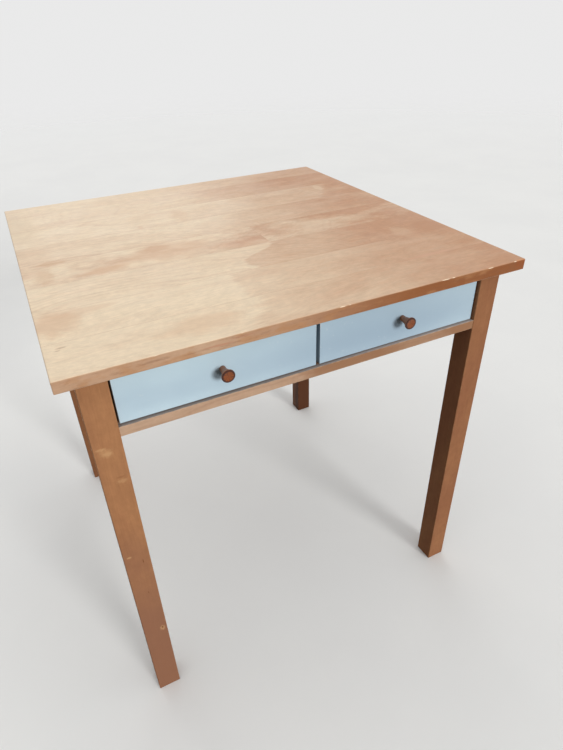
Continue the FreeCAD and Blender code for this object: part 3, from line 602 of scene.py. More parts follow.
# %% [markdown]
# ### What each stave looks like
#
# `Tone` says how tan a stave is on its left and on its right (0 is pale), where along X the one
# turns into the other and over what length, how that line leans across the stave, how far it jogs
# to the right behind the stave's middle, and how cloudy the stave is. A turn as short as `BUTT`
# is a butt joint between two boards. A longer one is the edge of the heartwood inside one board.
#
# `Figure` says how the saw met the rings: how strong the lines are, how wide a ring is, how much the
# trunk is bowed, how far it wanders, where along X its bow is nearest, and where its pith lies beside
# and below the stave. A shallow pith and a strong bow give the nested loops of the third stave; a
# deep pith gives quiet straight lines.

# %% The staves
BUTT = 1 * MM
SEED_STEP = 2.7
Tone = namedtuple("Tone", "left right turn softness lean jog clouds")
Figure = namedtuple("Figure", "lines ring_width bend wander bow_x pith_aside pith_depth")
# The widths, the tones and the figures of the staves, each from the front to the back.
STAVE_WIDTHS = np.array([90, 95, 97, 95, 96, 99, 98, 70]) * MM
TONES = (
    Tone(0.00, 0.34, -0.085, 0.020, 0.40, 0.0, 1.0),
    Tone(0.01, 0.27, -0.078, 0.008, 0.10, 0.0, 0.9),
    Tone(0.06, 0.44, -0.0385, 0.005, -0.34, 0.097, 0.8),
    Tone(0.28, 0.36, 0.045, BUTT, 0.00, 0.0, 2.4),
    Tone(0.18, 0.26, 0.125, 0.020, 0.80, 0.0, 1.1),
    Tone(0.09, 0.32, 0.296, 0.009, 0.60, 0.0, 1.0),
    Tone(0.14, 0.39, 0.010, 0.100, 0.00, 0.0, 0.8),
    Tone(0.17, 0.22, 0.165, 0.100, 0.00, 0.0, 0.8),
)
FIGURES = (
    Figure(0.06, 0.0060, 0.5, 0.12, -0.10, 0.050, 0.06),
    Figure(0.07, 0.0075, 0.9, 0.12, -0.22, 0.030, 0.05),
    Figure(0.20, 0.0085, 0.9, 0.10, -0.20, -0.050, 0.03),
    Figure(0.14, 0.0060, 0.7, 0.20, -0.30, 0.020, 0.05),
    Figure(0.24, 0.0065, 0.8, 0.09, -0.32, -0.060, 0.04),
    Figure(0.14, 0.0070, 0.4, 0.10, 0.02, 0.040, 0.08),
    Figure(0.12, 0.0060, 0.3, 0.08, 0.20, -0.030, 0.11),
    Figure(0.08, 0.0060, 0.3, 0.08, -0.10, 0.030, 0.07),
)

top_low, top_high = (np.array(corner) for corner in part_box("tabletop"))
stave_lines = top_low[1] + np.concatenate([[0.0], np.cumsum(STAVE_WIDTHS)])
print("stave lines, mm:", np.round(stave_lines / MM).astype(int).tolist())

# %% The knocks along the edges
# Each knock of the front edge: its place along X, its half length and its depth.
KNOCKS = MM * np.array(
    [
        (-246, 3.0, 0.5),
        (-131, 2.2, 0.4),
        (22, 4.5, 0.9),
        (34, 2.0, 0.5),
        (206, 6.5, 1.1),
        (221, 3.0, 0.7),
        (296, 5.0, 1.0),
        (348, 3.0, 0.8),
    ]
)
deepest_knock = KNOCKS[:, 2].max()


def knock_depth(along):
    """The sum of one bell curve for each knock, at places along the edge."""
    middles, half_lengths, depths = KNOCKS.T
    bells = depths * np.exp(-(((along[:, None] - middles) / half_lengths) ** 2))
    return bells.sum(axis=1)


print("knocks:", len(KNOCKS), "deepest", round(deepest_knock / MM, 2), "mm")

# %% The shell of the top
ARRIS = 1.5 * MM
ARRIS_STEPS = 6
MERGE_DISTANCE = 0.001 * MM
QUARTER = np.linspace(0, math.pi / 2, ARRIS_STEPS + 1)
CORNER = np.ones(QUARTER.size)


def section_round(cross, half_height):
    """The inner line round the board's section, and the ball's direction at each of its points.

    Across the top and the underside the line runs through the given places and the direction is
    straight up or down. At each corner the line stands still while the direction turns a quarter.
    """
    up = math.pi / 2
    flat = np.ones(cross.size - 2)
    front, back = cross[0] * CORNER, cross[-1] * CORNER
    line_y = np.concatenate([cross[1:-1], back, back, cross[-2:0:-1], front, front])
    line_z = half_height * np.concatenate([flat, CORNER, -CORNER, -flat, -CORNER, CORNER])
    turns = [flat * up, up - QUARTER, -QUARTER, -flat * up, -up - QUARTER, 2 * up - QUARTER]
    turn = np.concatenate(turns)
    return line_y, line_z, np.cos(turn), np.sin(turn)


def stations_along(along):
    """The inner line along the board, and how far the direction leans towards X at its two ends."""
    line_x = np.concatenate([along[0] * CORNER, along[1:-1], along[-1] * CORNER])
    lean = np.concatenate([QUARTER - math.pi / 2, np.zeros(along.size - 2), QUARTER])
    return line_x, np.sin(lean), np.cos(lean)


def grid_faces(rows, columns):
    """Four-sided faces between the lines of a grid whose columns close on themselves."""
    row, column = np.meshgrid(np.arange(rows - 1), np.arange(columns), indexing="ij")
    following = (column + 1) % columns
    corners = [row * columns + column, (row + 1) * columns + column]
    corners += [(row + 1) * columns + following, row * columns + following]
    return np.stack(corners, axis=-1).reshape(-1, 4)


def cap_faces(first, flats, columns):
    """Faces across one end, between the upper line of the section and the lower one.

    Round the section come the flat top, two arrises at the back, the underside and two at the front.
    """
    underside = flats + 2 * CORNER.size
    upper_front = 2 * flats + 3 * CORNER.size
    upper = np.concatenate([[upper_front], np.arange(flats + 1)])
    lower = np.arange(underside + flats, underside - 2, -1)
    corners = [upper[:-1], upper[1:], lower[1:], lower[:-1]]
    return first * columns + np.stack(corners, axis=-1)


def shape_mesh(name, points, faces, point_values):
    """A closed mesh from points and faces, with its seams merged and its faces turned outwards."""
    mesh = bpy.data.meshes.new(name)
    mesh.from_pydata(points.reshape(-1, 3).tolist(), [], faces.tolist())
    for label, values in point_values.items():
        mesh.attributes.new(label, "FLOAT", "POINT").data.foreach_set("value", values.ravel())
    whole = bmesh.new()
    whole.from_mesh(mesh)
    bmesh.ops.remove_doubles(whole, verts=whole.verts, dist=MERGE_DISTANCE)
    bmesh.ops.dissolve_degenerate(whole, edges=whole.edges, dist=MERGE_DISTANCE)
    bmesh.ops.recalc_face_normals(whole, faces=whole.faces)
    whole.to_mesh(mesh)
    whole.free()
    mesh.shade_smooth()
    return mesh


def add_piece(mesh, body, node, material):
    """Puts a new piece in place of a node of the model, riding on the node's body."""
    piece = bpy.data.objects.new(mesh.name, mesh)
    bpy.context.scene.collection.objects.link(piece)
    mesh.materials.append(material)
    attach(piece, body)
    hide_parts(node)
    return piece


print("arris:", round(ARRIS / MM, 2), "mm in", ARRIS_STEPS, "steps")

# %% Lines of the top's grid
# Fine lines reach so many half lengths to both sides of a knock. Places are rounded to so many
# decimals of a metre, so that two lines at nearly the same place become one.
FINE_STEP = 1.2 * MM
COARSE_STEP = 12 * MM
KNOCK_SPAN = 3
DECIMALS = 5

middle_z = (top_high[2] + top_low[2]) / 2
inner_half = (top_high - top_low) / 2 - ARRIS
plain_lines = np.arange(-inner_half[0], inner_half[0], COARSE_STEP)
turns = np.array([tone.turn for tone in TONES])
knock_lines = [
    np.arange(middle - KNOCK_SPAN * length, middle + KNOCK_SPAN * length, FINE_STEP)
    for middle, length, depth in KNOCKS
]
along = np.concatenate([plain_lines, turns, *knock_lines, [inner_half[0]]])
along = np.unique(np.round(along[np.abs(along) <= inner_half[0]], DECIMALS))
cross = np.concatenate([[-inner_half[1]], stave_lines[1:-1], [inner_half[1]]])
print("lines along:", along.size, "across:", cross.size)

# %% Points of the top
line_x, lean_x, spread = stations_along(along)
line_y, line_z, way_y, way_z = section_round(cross, inner_half[2])
# A knock is deepest halfway round the upper front arris and nothing on the flat faces.
upper_front = np.where((way_y < 0) & (way_z > 0), -2 * way_y * way_z, 0.0)
knocked = np.outer(knock_depth(line_x) * spread, upper_front)
reach = ARRIS * spread[:, None] - knocked
places = [
    np.repeat((line_x + ARRIS * lean_x)[:, None], line_y.size, axis=1),
    line_y + reach * way_y,
    middle_z + line_z + reach * way_z,
]
flats = cross.size - 2
caps = [cap_faces(row, flats, line_y.size) for row in (0, line_x.size - 1)]
top_faces = np.concatenate([grid_faces(line_x.size, line_y.size), *caps])
point_values = {"bared": knocked / deepest_knock, "side_share": 1 - np.abs(np.outer(spread, way_z))}
top_mesh = shape_mesh("laminated_top", np.stack(places, axis=-1), top_faces, point_values)
print("top:", len(top_mesh.vertices), "points,", len(top_mesh.polygons), "faces")

# %% [markdown]
# Each face of the shell now learns which board it belongs to: the board's place in its trunk, its
# tone and its figure. They are stored on the faces, because the jump at a glue line is sharp.

# %% Which board each face belongs to
centres = np.zeros(len(top_mesh.polygons) * 3)
top_mesh.polygons.foreach_get("center", centres)
centres = centres.reshape(-1, 3)
stave_of = np.clip(np.searchsorted(stave_lines, centres[:, 1]) - 1, 0, len(TONES) - 1)
left, right, turn, softness, lean, jog, clouds = np.array(TONES)[stave_of].T
lines, ring_width, bend, wander, bow_x, pith_aside, pith_depth = np.array(FIGURES)[stave_of].T
stave_middle = ((stave_lines[:-1] + stave_lines[1:]) / 2)[stave_of]
beyond_butt = (centres[:, 0] > turn) & (softness <= BUTT)
seed = SEED_STEP * (2 * stave_of + beyond_butt + 1)

FACE_VECTORS = {
    "pith": (bow_x, stave_middle + pith_aside, top_high[2] - pith_depth),
    "tone": (left, right, clouds),
    "turning": (turn, softness, lean),
    "across": (stave_middle, jog, wander),
    "rings": (lines, ring_width, bend),
    "board": (seed, stave_lines[stave_of], stave_lines[stave_of + 1]),
}
for name, parts in FACE_VECTORS.items():
    vectors = np.stack(parts, axis=1)
    top_mesh.attributes.new(name, "FLOAT_VECTOR", "FACE").data.foreach_set("vector", vectors.ravel())
print("faces with a board:", len(stave_of))

# %% [markdown]
# ## Marks on the top
#
# The photograph shows brown spots beside the glue lines, soft tan patches where the heartwood
# begins, brown swirls and a greyer patch near the left end, a few pale and pink streaks, and a
# small knot near the front left corner. The front edge has reddish streaks and an orange right
# end. Each is one soft mark.

# %% The marks of the top
TOP_Z = top_high[2]
FRONT_EDGE = top_low[1]
MARK_DEPTH = 20 * MM
EDGE_MARK_DEPTH = 6 * MM
WARM_BROWN = colour(184, 134, 98)
SOFT_TAN = colour(205, 163, 127)
PINK_TAN = colour(206, 160, 131)
KNOT_BROWN = colour(146, 101, 70)
PALE_STREAK = colour(226, 200, 170)
RED_STREAK = colour(196, 132, 108)
ORANGE_END = colour(222, 150, 96)
GREY_TAN = colour(204, 182, 152)
BROWN_SWIRL = colour(196, 154, 116)
# Middle and reach along X and Y in millimetres, strength and tint.
UPPER_FACE_ROWS = (
    (-146, -14, 36, 20, 0.45, WARM_BROWN),
    (-130, -35, 110, 60, 0.5, SOFT_TAN),
    (62, -10, 28, 20, 0.45, WARM_BROWN),
    (-345, -222, 50, 50, 0.5, SOFT_TAN),
    (-300, -200, 60, 14, 0.3, SOFT_TAN),
    (-372, 230, 60, 190, 0.4, GREY_TAN),
    (-320, 8, 36, 18, 0.4, BROWN_SWIRL),
    (-338, -50, 22, 40, 0.35, BROWN_SWIRL),
    (-244, -67, 55, 22, 0.6, SOFT_TAN),
    (-165, -320, 85, 34, 0.35, SOFT_TAN),
    (0, -68, 65, 26, 0.3, PINK_TAN),
    (338, -158, 40, 40, 0.6, WARM_BROWN),
    (134, -45, 60, 40, 0.25, PALE_STREAK),
    (0, -96, 65, 5, 0.8, PALE_STREAK),
    (276, -160, 26, 36, 0.2, PALE_STREAK),
    (250, -277, 80, 7, 0.6, PINK_TAN),
    (-140, 111, 8, 14, 0.35, SOFT_TAN),
    (-50, 150, 26, 45, 0.25, SOFT_TAN),
    (294, 178, 14, 26, 0.35, TOP_BIRCH.pale),
    (-347, -294, 9, 3, 0.4, KNOT_BROWN),
    (-352, -300, 5, 2, 0.4, KNOT_BROWN),
)
# The same along X and Z.
FRONT_EDGE_ROWS = (
    (362, 736.0, 16, 12.0, 0.6, ORANGE_END),
    (-165, 733.5, 30, 2.2, 0.6, RED_STREAK),
    (-130, 738.0, 22, 1.4, 0.5, RED_STREAK),
)
TOP_MARKS = marks_on("Z", TOP_Z, MARK_DEPTH, UPPER_FACE_ROWS)
TOP_MARKS += marks_on("Y", FRONT_EDGE, EDGE_MARK_DEPTH, FRONT_EDGE_ROWS)
print("marks on the top:", len(TOP_MARKS))

# %% [markdown]
# ## The finish of the top
#
# The tone comes first: a board's left tone, then its right one beyond a ragged line. The grain,
# the marks and a hair-thin line of glue between two staves follow. The sides of the board took
# more stain and dirt than its face, and where the edge was knocked the bare wood shows.

# %% The tone of a stave
# Soft steps along the jog of the line, and along the whole top, which is painted more tan to the right as
# painted shade.
JOG_STEP = (-16 * MM, 42 * MM)
PAINTED_SHADE_TO_RIGHT = (-0.12, 0.36, 0.0, 0.62)
RAGGED = Noise((9.0, 90.0, 20.0), 4.0, 0.7)
RAGGED_SHARE = 5.0
SIDE_TONE = 0.5


def stored(tree, name, output="Fac"):
    """A value that the mesh carries."""
    return place(tree, "ShaderNodeAttribute", attribute_name=name).outputs[output]


def stored_parts(tree, name):
    """The three numbers that each face of the top carries under one name."""
    return split(tree, stored(tree, name, "Vector"))


def stave_tone(tree, coordinates):
    """How tan a point is: the left tone, then the right one beyond a leaning, stepped, ragged line.

    The whole top is a little more tan towards the right end, which is painted shade, and its sides are
    evenly so.
    """
    left, right = stored_parts(tree, "tone")[:2]
    turn, softness, lean = stored_parts(tree, "turning")
    middle, jog = stored_parts(tree, "across")[:2]
    along, across = split(tree, coordinates)[:2]
    aside = calculate(tree, "SUBTRACT", across, middle)
    line = calculate(tree, "MULTIPLY_ADD", aside, lean, turn)
    line = calculate(tree, "MULTIPLY_ADD", jog, soft_step(tree, aside, *JOG_STEP), line)
    beyond = calculate(tree, "SUBTRACT", along, line)
    raggedness = calculate(tree, "MULTIPLY", softness, RAGGED_SHARE)
    beyond = sway(tree, cloud(tree, coordinates, RAGGED), raggedness, beyond)
    turned = soft_step(tree, beyond, calculate(tree, "MULTIPLY", softness, -1.0), softness)
    tone = calculate(tree, "MULTIPLY_ADD", turned, calculate(tree, "SUBTRACT", right, left), left)
    # Painted shade: more tan towards the right end of the top.
    tone = calculate(tree, "ADD", tone, soft_step(tree, along, *PAINTED_SHADE_TO_RIGHT))
    to_sides = calculate(tree, "SUBTRACT", SIDE_TONE, tone)
    return calculate(tree, "MULTIPLY_ADD", to_sides, stored(tree, "side_share"), tone)


print("the right end is more tan by", PAINTED_SHADE_TO_RIGHT[-1])

# %% Layers of the top
# Each step is a soft one: from where to where, and how strongly it starts and ends.
GLUE_LINE = colour(176, 130, 96)
GLUE_STEP = (0.1 * MM, 0.6 * MM, 0.45, 0.0)
EDGE_TINT_LEFT = colour(255, 252, 252)
EDGE_TINT_RIGHT = colour(194, 152, 116)
EDGE_TINT_STEP = (-180 * MM, 160 * MM)
ORANGE_BLOTCHES = Layer(Noise((26.0, 26.0, 70.0), 4.0, 0.6), (0.5, 0.66, 0.0, 0.5), colour(184, 132, 88))
DARK_STREAKS = Layer(Noise((34.0, 60.0, 240.0), 4.0, 0.7), (0.5, 0.75, 0.0, 0.45), colour(128, 86, 60))
BARED_STEP = (0.1, 0.6)


def stained_sides(tree, coordinates, along, base):
    """The base colour times a tint that darkens to the right, with orange blotches and dark streaks."""
    tint = blend(tree, soft_step(tree, along, *EDGE_TINT_STEP), EDGE_TINT_LEFT, EDGE_TINT_RIGHT)
    sides = blend(tree, 1.0, base, tint, kind="MULTIPLY")
    sides = lay_cloud(tree, coordinates, sides, ORANGE_BLOTCHES)
    return lay_cloud(tree, coordinates, sides, DARK_STREAKS)


def top_finish():
    """Birch staves: the grain of each board's own place, the marks, the knocks and the lacquer."""
    material, tree, shader, coordinates = new_material("lacquered_birch_staves")
    lines, ring_width, bend = stored_parts(tree, "rings")
    seed, near_glue, far_glue = stored_parts(tree, "board")
    figure = wood_grain(
        tree,
        TOP_BIRCH,
        on_vectors(tree, "SUBTRACT", coordinates, stored(tree, "pith", "Vector")),
        seed,
        stave_tone(tree, coordinates),
        ring_strength=lines,
        ring_width=ring_width,
        bend=bend,
        clouds=stored_parts(tree, "tone")[2],
        wander=stored_parts(tree, "across")[2],
    )
    base = lay_marks(tree, coordinates, figure["Color"], TOP_MARKS)
    along, across = split(tree, coordinates)[:2]
    behind_glue = calculate(tree, "SUBTRACT", across, near_glue)
    before_glue = calculate(tree, "SUBTRACT", far_glue, across)
    to_glue = calculate(tree, "MINIMUM", behind_glue, before_glue)
    base = blend(tree, soft_step(tree, to_glue, *GLUE_STEP), base, GLUE_LINE)
    base = blend(tree, stored(tree, "side_share"), base, stained_sides(tree, coordinates, along, base))
    base = blend(tree, soft_step(tree, stored(tree, "bared"), *BARED_STEP), base, TOP_BIRCH.bare)
    lacquer(tree, shader, coordinates, TOP_BIRCH, base, figure["Height"])
    return material


print("side tint at the right end:", [round(part, 3) for part in EDGE_TINT_RIGHT])

# %% Placing the top
EVEN_WEIGHT = 80


def shade_evenly(piece):
    """Weighs the normals by the size of the faces, so that flat faces stay flat beside round edges."""
    piece.modifiers.new("even_shading", "WEIGHTED_NORMAL").weight = EVEN_WEIGHT


laminated_top = add_piece(top_mesh, "frame", "tabletop", top_finish())
shade_evenly(laminated_top)
print("piece:", laminated_top.name)

# %% [markdown]
# ## The turned knobs
#
# The knob is turned on a lathe from a stained dowel: a short straight stem, a hollow flare and a
# thick face with a rounded rim and a shallow dish. A turned shape is a profile carried round an
# axis: the radius is a function of the distance along the axis, and both are arrays.

# %% The knob's profile
KNOB_LENGTH = 23.5 * MM
STEM_RADIUS = 4.75 * MM
STEM_LENGTH = 6 * MM
FLARE_RADIUS = 8.6 * MM
FLARE_POWER = 1.35
FACE_RADIUS = 10 * MM
LIP = 3.6 * MM
SHOULDER = 1.0 * MM
RIM = 1.2 * MM
DISH = 0.5 * MM
BASE_POINTS = 5
FLARE_POINTS = 24
ROUND_POINTS = 9
FACE_POINTS = 16


def knob_profile():
    """Distances along the axis and radii, from the middle of the base to the middle of the face.

    The flare follows a power of the distance from the stem, the shoulder and the rim are quarter
    circles, and the dish is one flat cosine.
    """
    base_radius = np.linspace(0, STEM_RADIUS, BASE_POINTS)
    flare = np.linspace(0, 1, FLARE_POINTS)
    flare_end = KNOB_LENGTH - LIP
    flare_along = STEM_LENGTH + (flare_end - STEM_LENGTH) * flare
    flare_radius = STEM_RADIUS + (FLARE_RADIUS - STEM_RADIUS) * flare**FLARE_POWER
    quarter = np.linspace(0, math.pi / 2, ROUND_POINTS)
    shoulder_along = flare_end + SHOULDER * (1 - np.cos(quarter))
    shoulder_radius = FLARE_RADIUS + (FACE_RADIUS - FLARE_RADIUS) * np.sin(quarter)
    rim_along = KNOB_LENGTH - RIM * (1 - np.sin(quarter))
    rim_radius = FACE_RADIUS - RIM * (1 - np.cos(quarter))
    face = np.linspace(1, 0, FACE_POINTS)[1:]
    face_along = KNOB_LENGTH - DISH * (1 + np.cos(math.pi * face)) / 2
    face_radius = (FACE_RADIUS - RIM) * face
    stem_along = np.append(np.zeros(BASE_POINTS), STEM_LENGTH / 2)
    stem_radius = np.append(base_radius, STEM_RADIUS)
    distances = [stem_along, flare_along, shoulder_along[1:], rim_along, face_along]
    radii = [stem_radius, flare_radius, shoulder_radius[1:], rim_radius, face_radius]
    return np.concatenate(distances), np.concatenate(radii)


knob_along, knob_radius = knob_profile()
print("knob profile:", knob_along.size, "points, widest", round(2 * knob_radius.max() / MM, 1), "mm")

# %% [markdown]
# The grain runs along the axis, so the knob's face is end grain, which took more stain: it is
# streaked from the middle outwards. Round it lies a dark ring, where the stain gathered.

# %% The stained finish of the knobs
STAIN = Wood(
    pale=colour(170, 116, 84),
    tan=colour(138, 86, 58),
    line=colour(92, 52, 36),
    bare=colour(184, 132, 100),
    ring_width=1.3 * MM,
    ring_strength=0.6,
    wander=0.01,
    streaks=1.6,
    roughness=0.36,
    shine=0.4,
)
STAIN_TONE = 0.5
STAIN_BUMP = (0.35, 0.04 * MM)
KNOB_PITH = (6 * MM, 9 * MM)
FACE_STAIN = colour(150, 76, 26)
FACE_RAYS = Layer(Noise(4.5, 3.0, 0.6), (0.4, 0.62), colour(82, 38, 16))
RIM_STAIN = colour(48, 22, 20)
STAINED_SHARE = 0.85
OFF_THE_AXIS = (1.0, 0.0, 1.0)


def knob_finish(node, seed):
    """Stained hardwood. The face is streaked by a noise of the direction from its middle."""
    material, tree, shader, coordinates = new_material(f"stained_{node}")
    vector = board_frame(tree, coordinates, node, ALONG_Y, KNOB_PITH)
    figure = wood_grain(tree, STAIN, vector, seed, STAIN_TONE)
    low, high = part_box(node)
    outward = on_vectors(tree, "SUBTRACT", coordinates, (low + high) / 2)
    outward = on_vectors(tree, "NORMALIZE", on_vectors(tree, "MULTIPLY", outward, OFF_THE_AXIS))
    streaked = lay_cloud(tree, outward, FACE_STAIN, FACE_RAYS)
    base = lay(tree, figure["Color"], stored(tree, "face"), STAINED_SHARE, streaked)
    base = lay(tree, base, stored(tree, "rim"), STAINED_SHARE, RIM_STAIN)
    lacquer(tree, shader, coordinates, STAIN, base, figure["Height"], STAIN_BUMP)
    return material


print("stain:", [round(part, 3) for part in FACE_STAIN])

# %% Turning the knobs
KNOB_SIDES = 96
# How far the face's finish reaches down the rim, and where its dark ring starts and how it fades.
FACE_REACH = 0.8 * RIM
DARK_RING_RADIUS = 6.9 * MM
DARK_RING_FADE = 0.9 * MM


def turn_knob(node, body, seed):
    """Carries the profile round the axis of the node's knob."""
    low, high = (np.array(corner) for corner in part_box(node))
    angle = np.linspace(0, 2 * math.pi, KNOB_SIDES, endpoint=False)
    places = [
        (low[0] + high[0]) / 2 + np.outer(knob_radius, np.cos(angle)),
        np.repeat((high[1] - knob_along)[:, None], KNOB_SIDES, axis=1),
        (low[2] + high[2]) / 2 + np.outer(knob_radius, np.sin(angle)),
    ]
    face = (knob_along > KNOB_LENGTH - FACE_REACH) * 1.0
    rim = face * np.clip((knob_radius - DARK_RING_RADIUS) / DARK_RING_FADE, 0, 1)
    values = {"rim": np.repeat(rim, KNOB_SIDES), "face": np.repeat(face, KNOB_SIDES)}
    faces = grid_faces(knob_along.size, KNOB_SIDES)
    mesh = shape_mesh(f"turned_{node}", np.stack(places, axis=-1), faces, values)
    piece = add_piece(mesh, body, node, knob_finish(node, seed))
    print(piece.name, len(mesh.polygons), "faces")


KNOB_SEEDS = {"left_drawer": 3.1, "right_drawer": 7.4}
for body, seed in KNOB_SEEDS.items():
    turn_knob(f"{body}_knob", body, seed)

# %% [markdown]
# ## The frame and the drawer boxes
#
# The legs, aprons, rails, strips and drawer boards keep their own solids. A saw and a plane leave
# no perfectly sharp edge, so each board gets a narrow bevel: a Weld modifier first joins the loose
# triangles, Bevel cuts the corners, and Weighted Normal keeps the flat faces flat.

# %% Eased edges
WELD_DISTANCE = 0.005 * MM
BEVEL_SEGMENTS = 2
SHARP_DEGREES = 40
EASED = 0.4 * MM
EASED_STRIP = 0.5 * MM
EASED_FRONT = 0.35 * MM


def ease_edges(node, width):
    """A narrow bevel along every sharp edge of a board."""
    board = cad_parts[node]
    board.modifiers.new("weld", "WELD").merge_threshold = WELD_DISTANCE
    bevel = board.modifiers.new("eased_edges", "BEVEL")
    bevel.width = width
    bevel.segments = BEVEL_SEGMENTS
    bevel.limit_method = "ANGLE"
    bevel.angle_limit = math.radians(SHARP_DEGREES)
    bevel.use_clamp_overlap = True
    shade_evenly(board)


def dress(node, material):
    """Gives a node of the model its finish."""
    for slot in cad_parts[node].material_slots:
        slot.material = material


def dress_board(node, wood, grain, seed, pith, tone, marks=(), eased=EASED):
    """Gives a board its wood and its eased edges."""
    dress(node, wooden(node, wood, grain, seed, pith, tone, marks))
    ease_edges(node, eased)


print("eased by", EASED / MM, "mm")

# %% [markdown]
# ### Scars, knots, browner feet and painted shade on the frame
#
# The front left leg, nearest to the eye, has pale scars, pin knots and a browner foot. The foot
# of the back right one is darker still, by painted shade. The lower rail is browner to the right,
# and the narrow ledge on top of it is painted darker, as shade below the drawers, a little less
# so towards its right end.

# %% Legs, aprons and rails
SCAR = colour(214, 170, 122)
PIN_KNOT = colour(112, 66, 38)
FOOT_BROWN = colour(141, 99, 79)
RAIL_BROWN = colour(155, 112, 80)
# Painted shade on the ledge below the drawers, and a lighter painted shade towards its right end.
PAINTED_LEDGE_SHADE = colour(138, 129, 125)
PAINTED_LEDGE_LIGHTER_SHADE = colour(178, 166, 160)
# Painted shade on the foot of the back right leg.
PAINTED_FOOT_SHADE = colour(78, 46, 30)

LEG_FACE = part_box("front_left_leg")[0][1]
BACK_LEG_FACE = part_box("back_right_leg")[0][1]
RAIL_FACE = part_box("lower_front_rail")[0][1]
LEDGE_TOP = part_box("lower_front_rail")[1][2]
SCAR_DEPTH = 10 * MM
FOOT_DEPTH = 150 * MM
BACK_FOOT_SHADE_DEPTH = 30 * MM
RAIL_BROWN_DEPTH = 100 * MM
LEDGE_SHADE_DEPTH = 0.8 * MM

# Middle and reach along X and Z in millimetres, strength and tint. On the ledge, along X and Y.
FOOT_ROWS = ((-326, 40, 180, 420, 0.75, FOOT_BROWN),)
SCAR_ROWS = (
    (-330, 600, 12, 11, 0.3, SCAR),
    (-328, 598, 9, 5, 0.3, SCAR),
    (-336, 608, 9, 3.4, 0.4, SCAR),
    (-318, 544, 10, 5, 0.3, SCAR),
    (-319, 552, 8, 2.4, 0.25, PIN_KNOT),
    (-337, 387, 5, 3, 0.5, SCAR),
    (-318, 368, 1.2, 6, 0.7, PIN_KNOT),
    (-322, 290, 1.2, 4, 0.5, PIN_KNOT),
    (-314, 182, 6, 9, 0.5, SCAR),
    (-314, 184, 2.2, 3.5, 0.9, PIN_KNOT),
)
BACK_FOOT_SHADE_ROWS = ((326, 30, 200, 300, 0.8, PAINTED_FOOT_SHADE),)
RAIL_ROWS = (
    (60, 627, 130, 40, 0.9, RAIL_BROWN),
    (190, 627, 160, 40, 0.6, RAIL_BROWN),
    (310, 627, 100, 40, 0.9, RAIL_BROWN),
)
LEDGE_SHADE_ROWS = (
    (0, -341, 2000, 6.8, 0.95, PAINTED_LEDGE_SHADE),
    (250, -341, 320, 6.8, 0.8, PAINTED_LEDGE_LIGHTER_SHADE),
)
LEFT_LEG_MARKS = marks_on("Y", LEG_FACE, FOOT_DEPTH, FOOT_ROWS)
LEFT_LEG_MARKS += marks_on("Y", LEG_FACE, SCAR_DEPTH, SCAR_ROWS)
BACK_LEG_SHADE = marks_on("Y", BACK_LEG_FACE, BACK_FOOT_SHADE_DEPTH, BACK_FOOT_SHADE_ROWS)
RAIL_MARKS_AND_SHADE = marks_on("Y", RAIL_FACE, RAIL_BROWN_DEPTH, RAIL_ROWS)
RAIL_MARKS_AND_SHADE += marks_on("Z", LEDGE_TOP, LEDGE_SHADE_DEPTH, LEDGE_SHADE_ROWS)
# Each board with its wood, its grain, its seed, where its pith lies, its tone, and its marks and painted
# shade.
FRAME_BOARDS = (
    ("front_left_leg", LEG_WOOD, ALONG_Z, 0.9, (0.05, 0.16), 0.35, LEFT_LEG_MARKS),
    ("front_right_leg", LEG_WOOD, ALONG_Z, 4.1, (0.03, -0.12), 0.9),
    ("back_left_leg", SHADED_BACK_LEG_WOOD, ALONG_Z, 7.7, (-0.09, 0.07), 0.5),
    ("back_right_leg", SHADED_BACK_LEG_WOOD, ALONG_Z, 11.2, (0.14, 0.05), 0.8, BACK_LEG_SHADE),
    ("left_apron", APRON_WOOD, ALONG_Y, 2.2, (0.07, -0.02), 0.5),
    ("right_apron", APRON_WOOD, ALONG_Y, 5.6, (0.09, 0.03), 0.45),
    ("back_apron", APRON_WOOD, ALONG_X, 9.3, (0.06, 0.01), 0.4),
    ("lower_front_rail", RAIL_WOOD, ALONG_X, 1.4, (0.10, 0.02), 0.3, RAIL_MARKS_AND_SHADE),
    ("upper_front_rail", RAIL_WOOD, ALONG_X, 6.3, (0.08, -0.06), 0.5),
)
for board in FRAME_BOARDS:
    dress_board(*board)
print("frame boards:", len(FRAME_BOARDS))

# %% [markdown]
# Under the top, each drawer slides on runners, between guides and below kickers, and its back meets
# a stop when it is fully open. They are plain planed strips, each with a figure of its own.

# %% Strips under the top
STRIP_SEED_STEP = 1.3
STRIP_PITH = (0.03, 0.06)
STRIP_TONE = 0.45

strips = [f"{side}_{kind}" for side in ("left", "right", "centre") for kind in ("runner", "guide", "kicker")]
stops = ["left_drawer_stop", "right_drawer_stop"]
for number, node in enumerate(strips + stops):
    grain = ALONG_X if node in stops else ALONG_Y
    seed = STRIP_SEED_STEP * number
    dress_board(node, STRIP_WOOD, grain, seed, STRIP_PITH, STRIP_TONE, eased=EASED_STRIP)
print("strips:", len(strips), "stops:", len(stops))

# %% [markdown]
# ## The painted drawer fronts
#
# The fronts are sprayed and rolled with a light-blue satin paint. Up close the paint has a very
# fine orange peel, its tone drifts a little, and on the edges it is thin: there the wood below
# shows through as a pale line. Its colour also carries painted shade towards the middle of the
# table, painted light above and below the knobs, a painted shadow beside each knob, and painted
# shade on the end faces of each front, in the gap between them.

# %% Blue paint
PAINT_BLUE = colour(195, 216, 227)
PAINT_DRIFT = Layer(Noise((9.0, 9.0, 14.0), 3.0), MOST_NOISE, colour(187, 208, 220))
# Painted shade: how far along X the paint is darkened, from this place to both sides.
PAINTED_MIDDLE_SHADE = colour(163, 184, 200)
MIDDLE_SHADE_PLACE = 100 * MM
MIDDLE_SHADE_STEP = (0.0, 360 * MM, 0.9, 0.0)
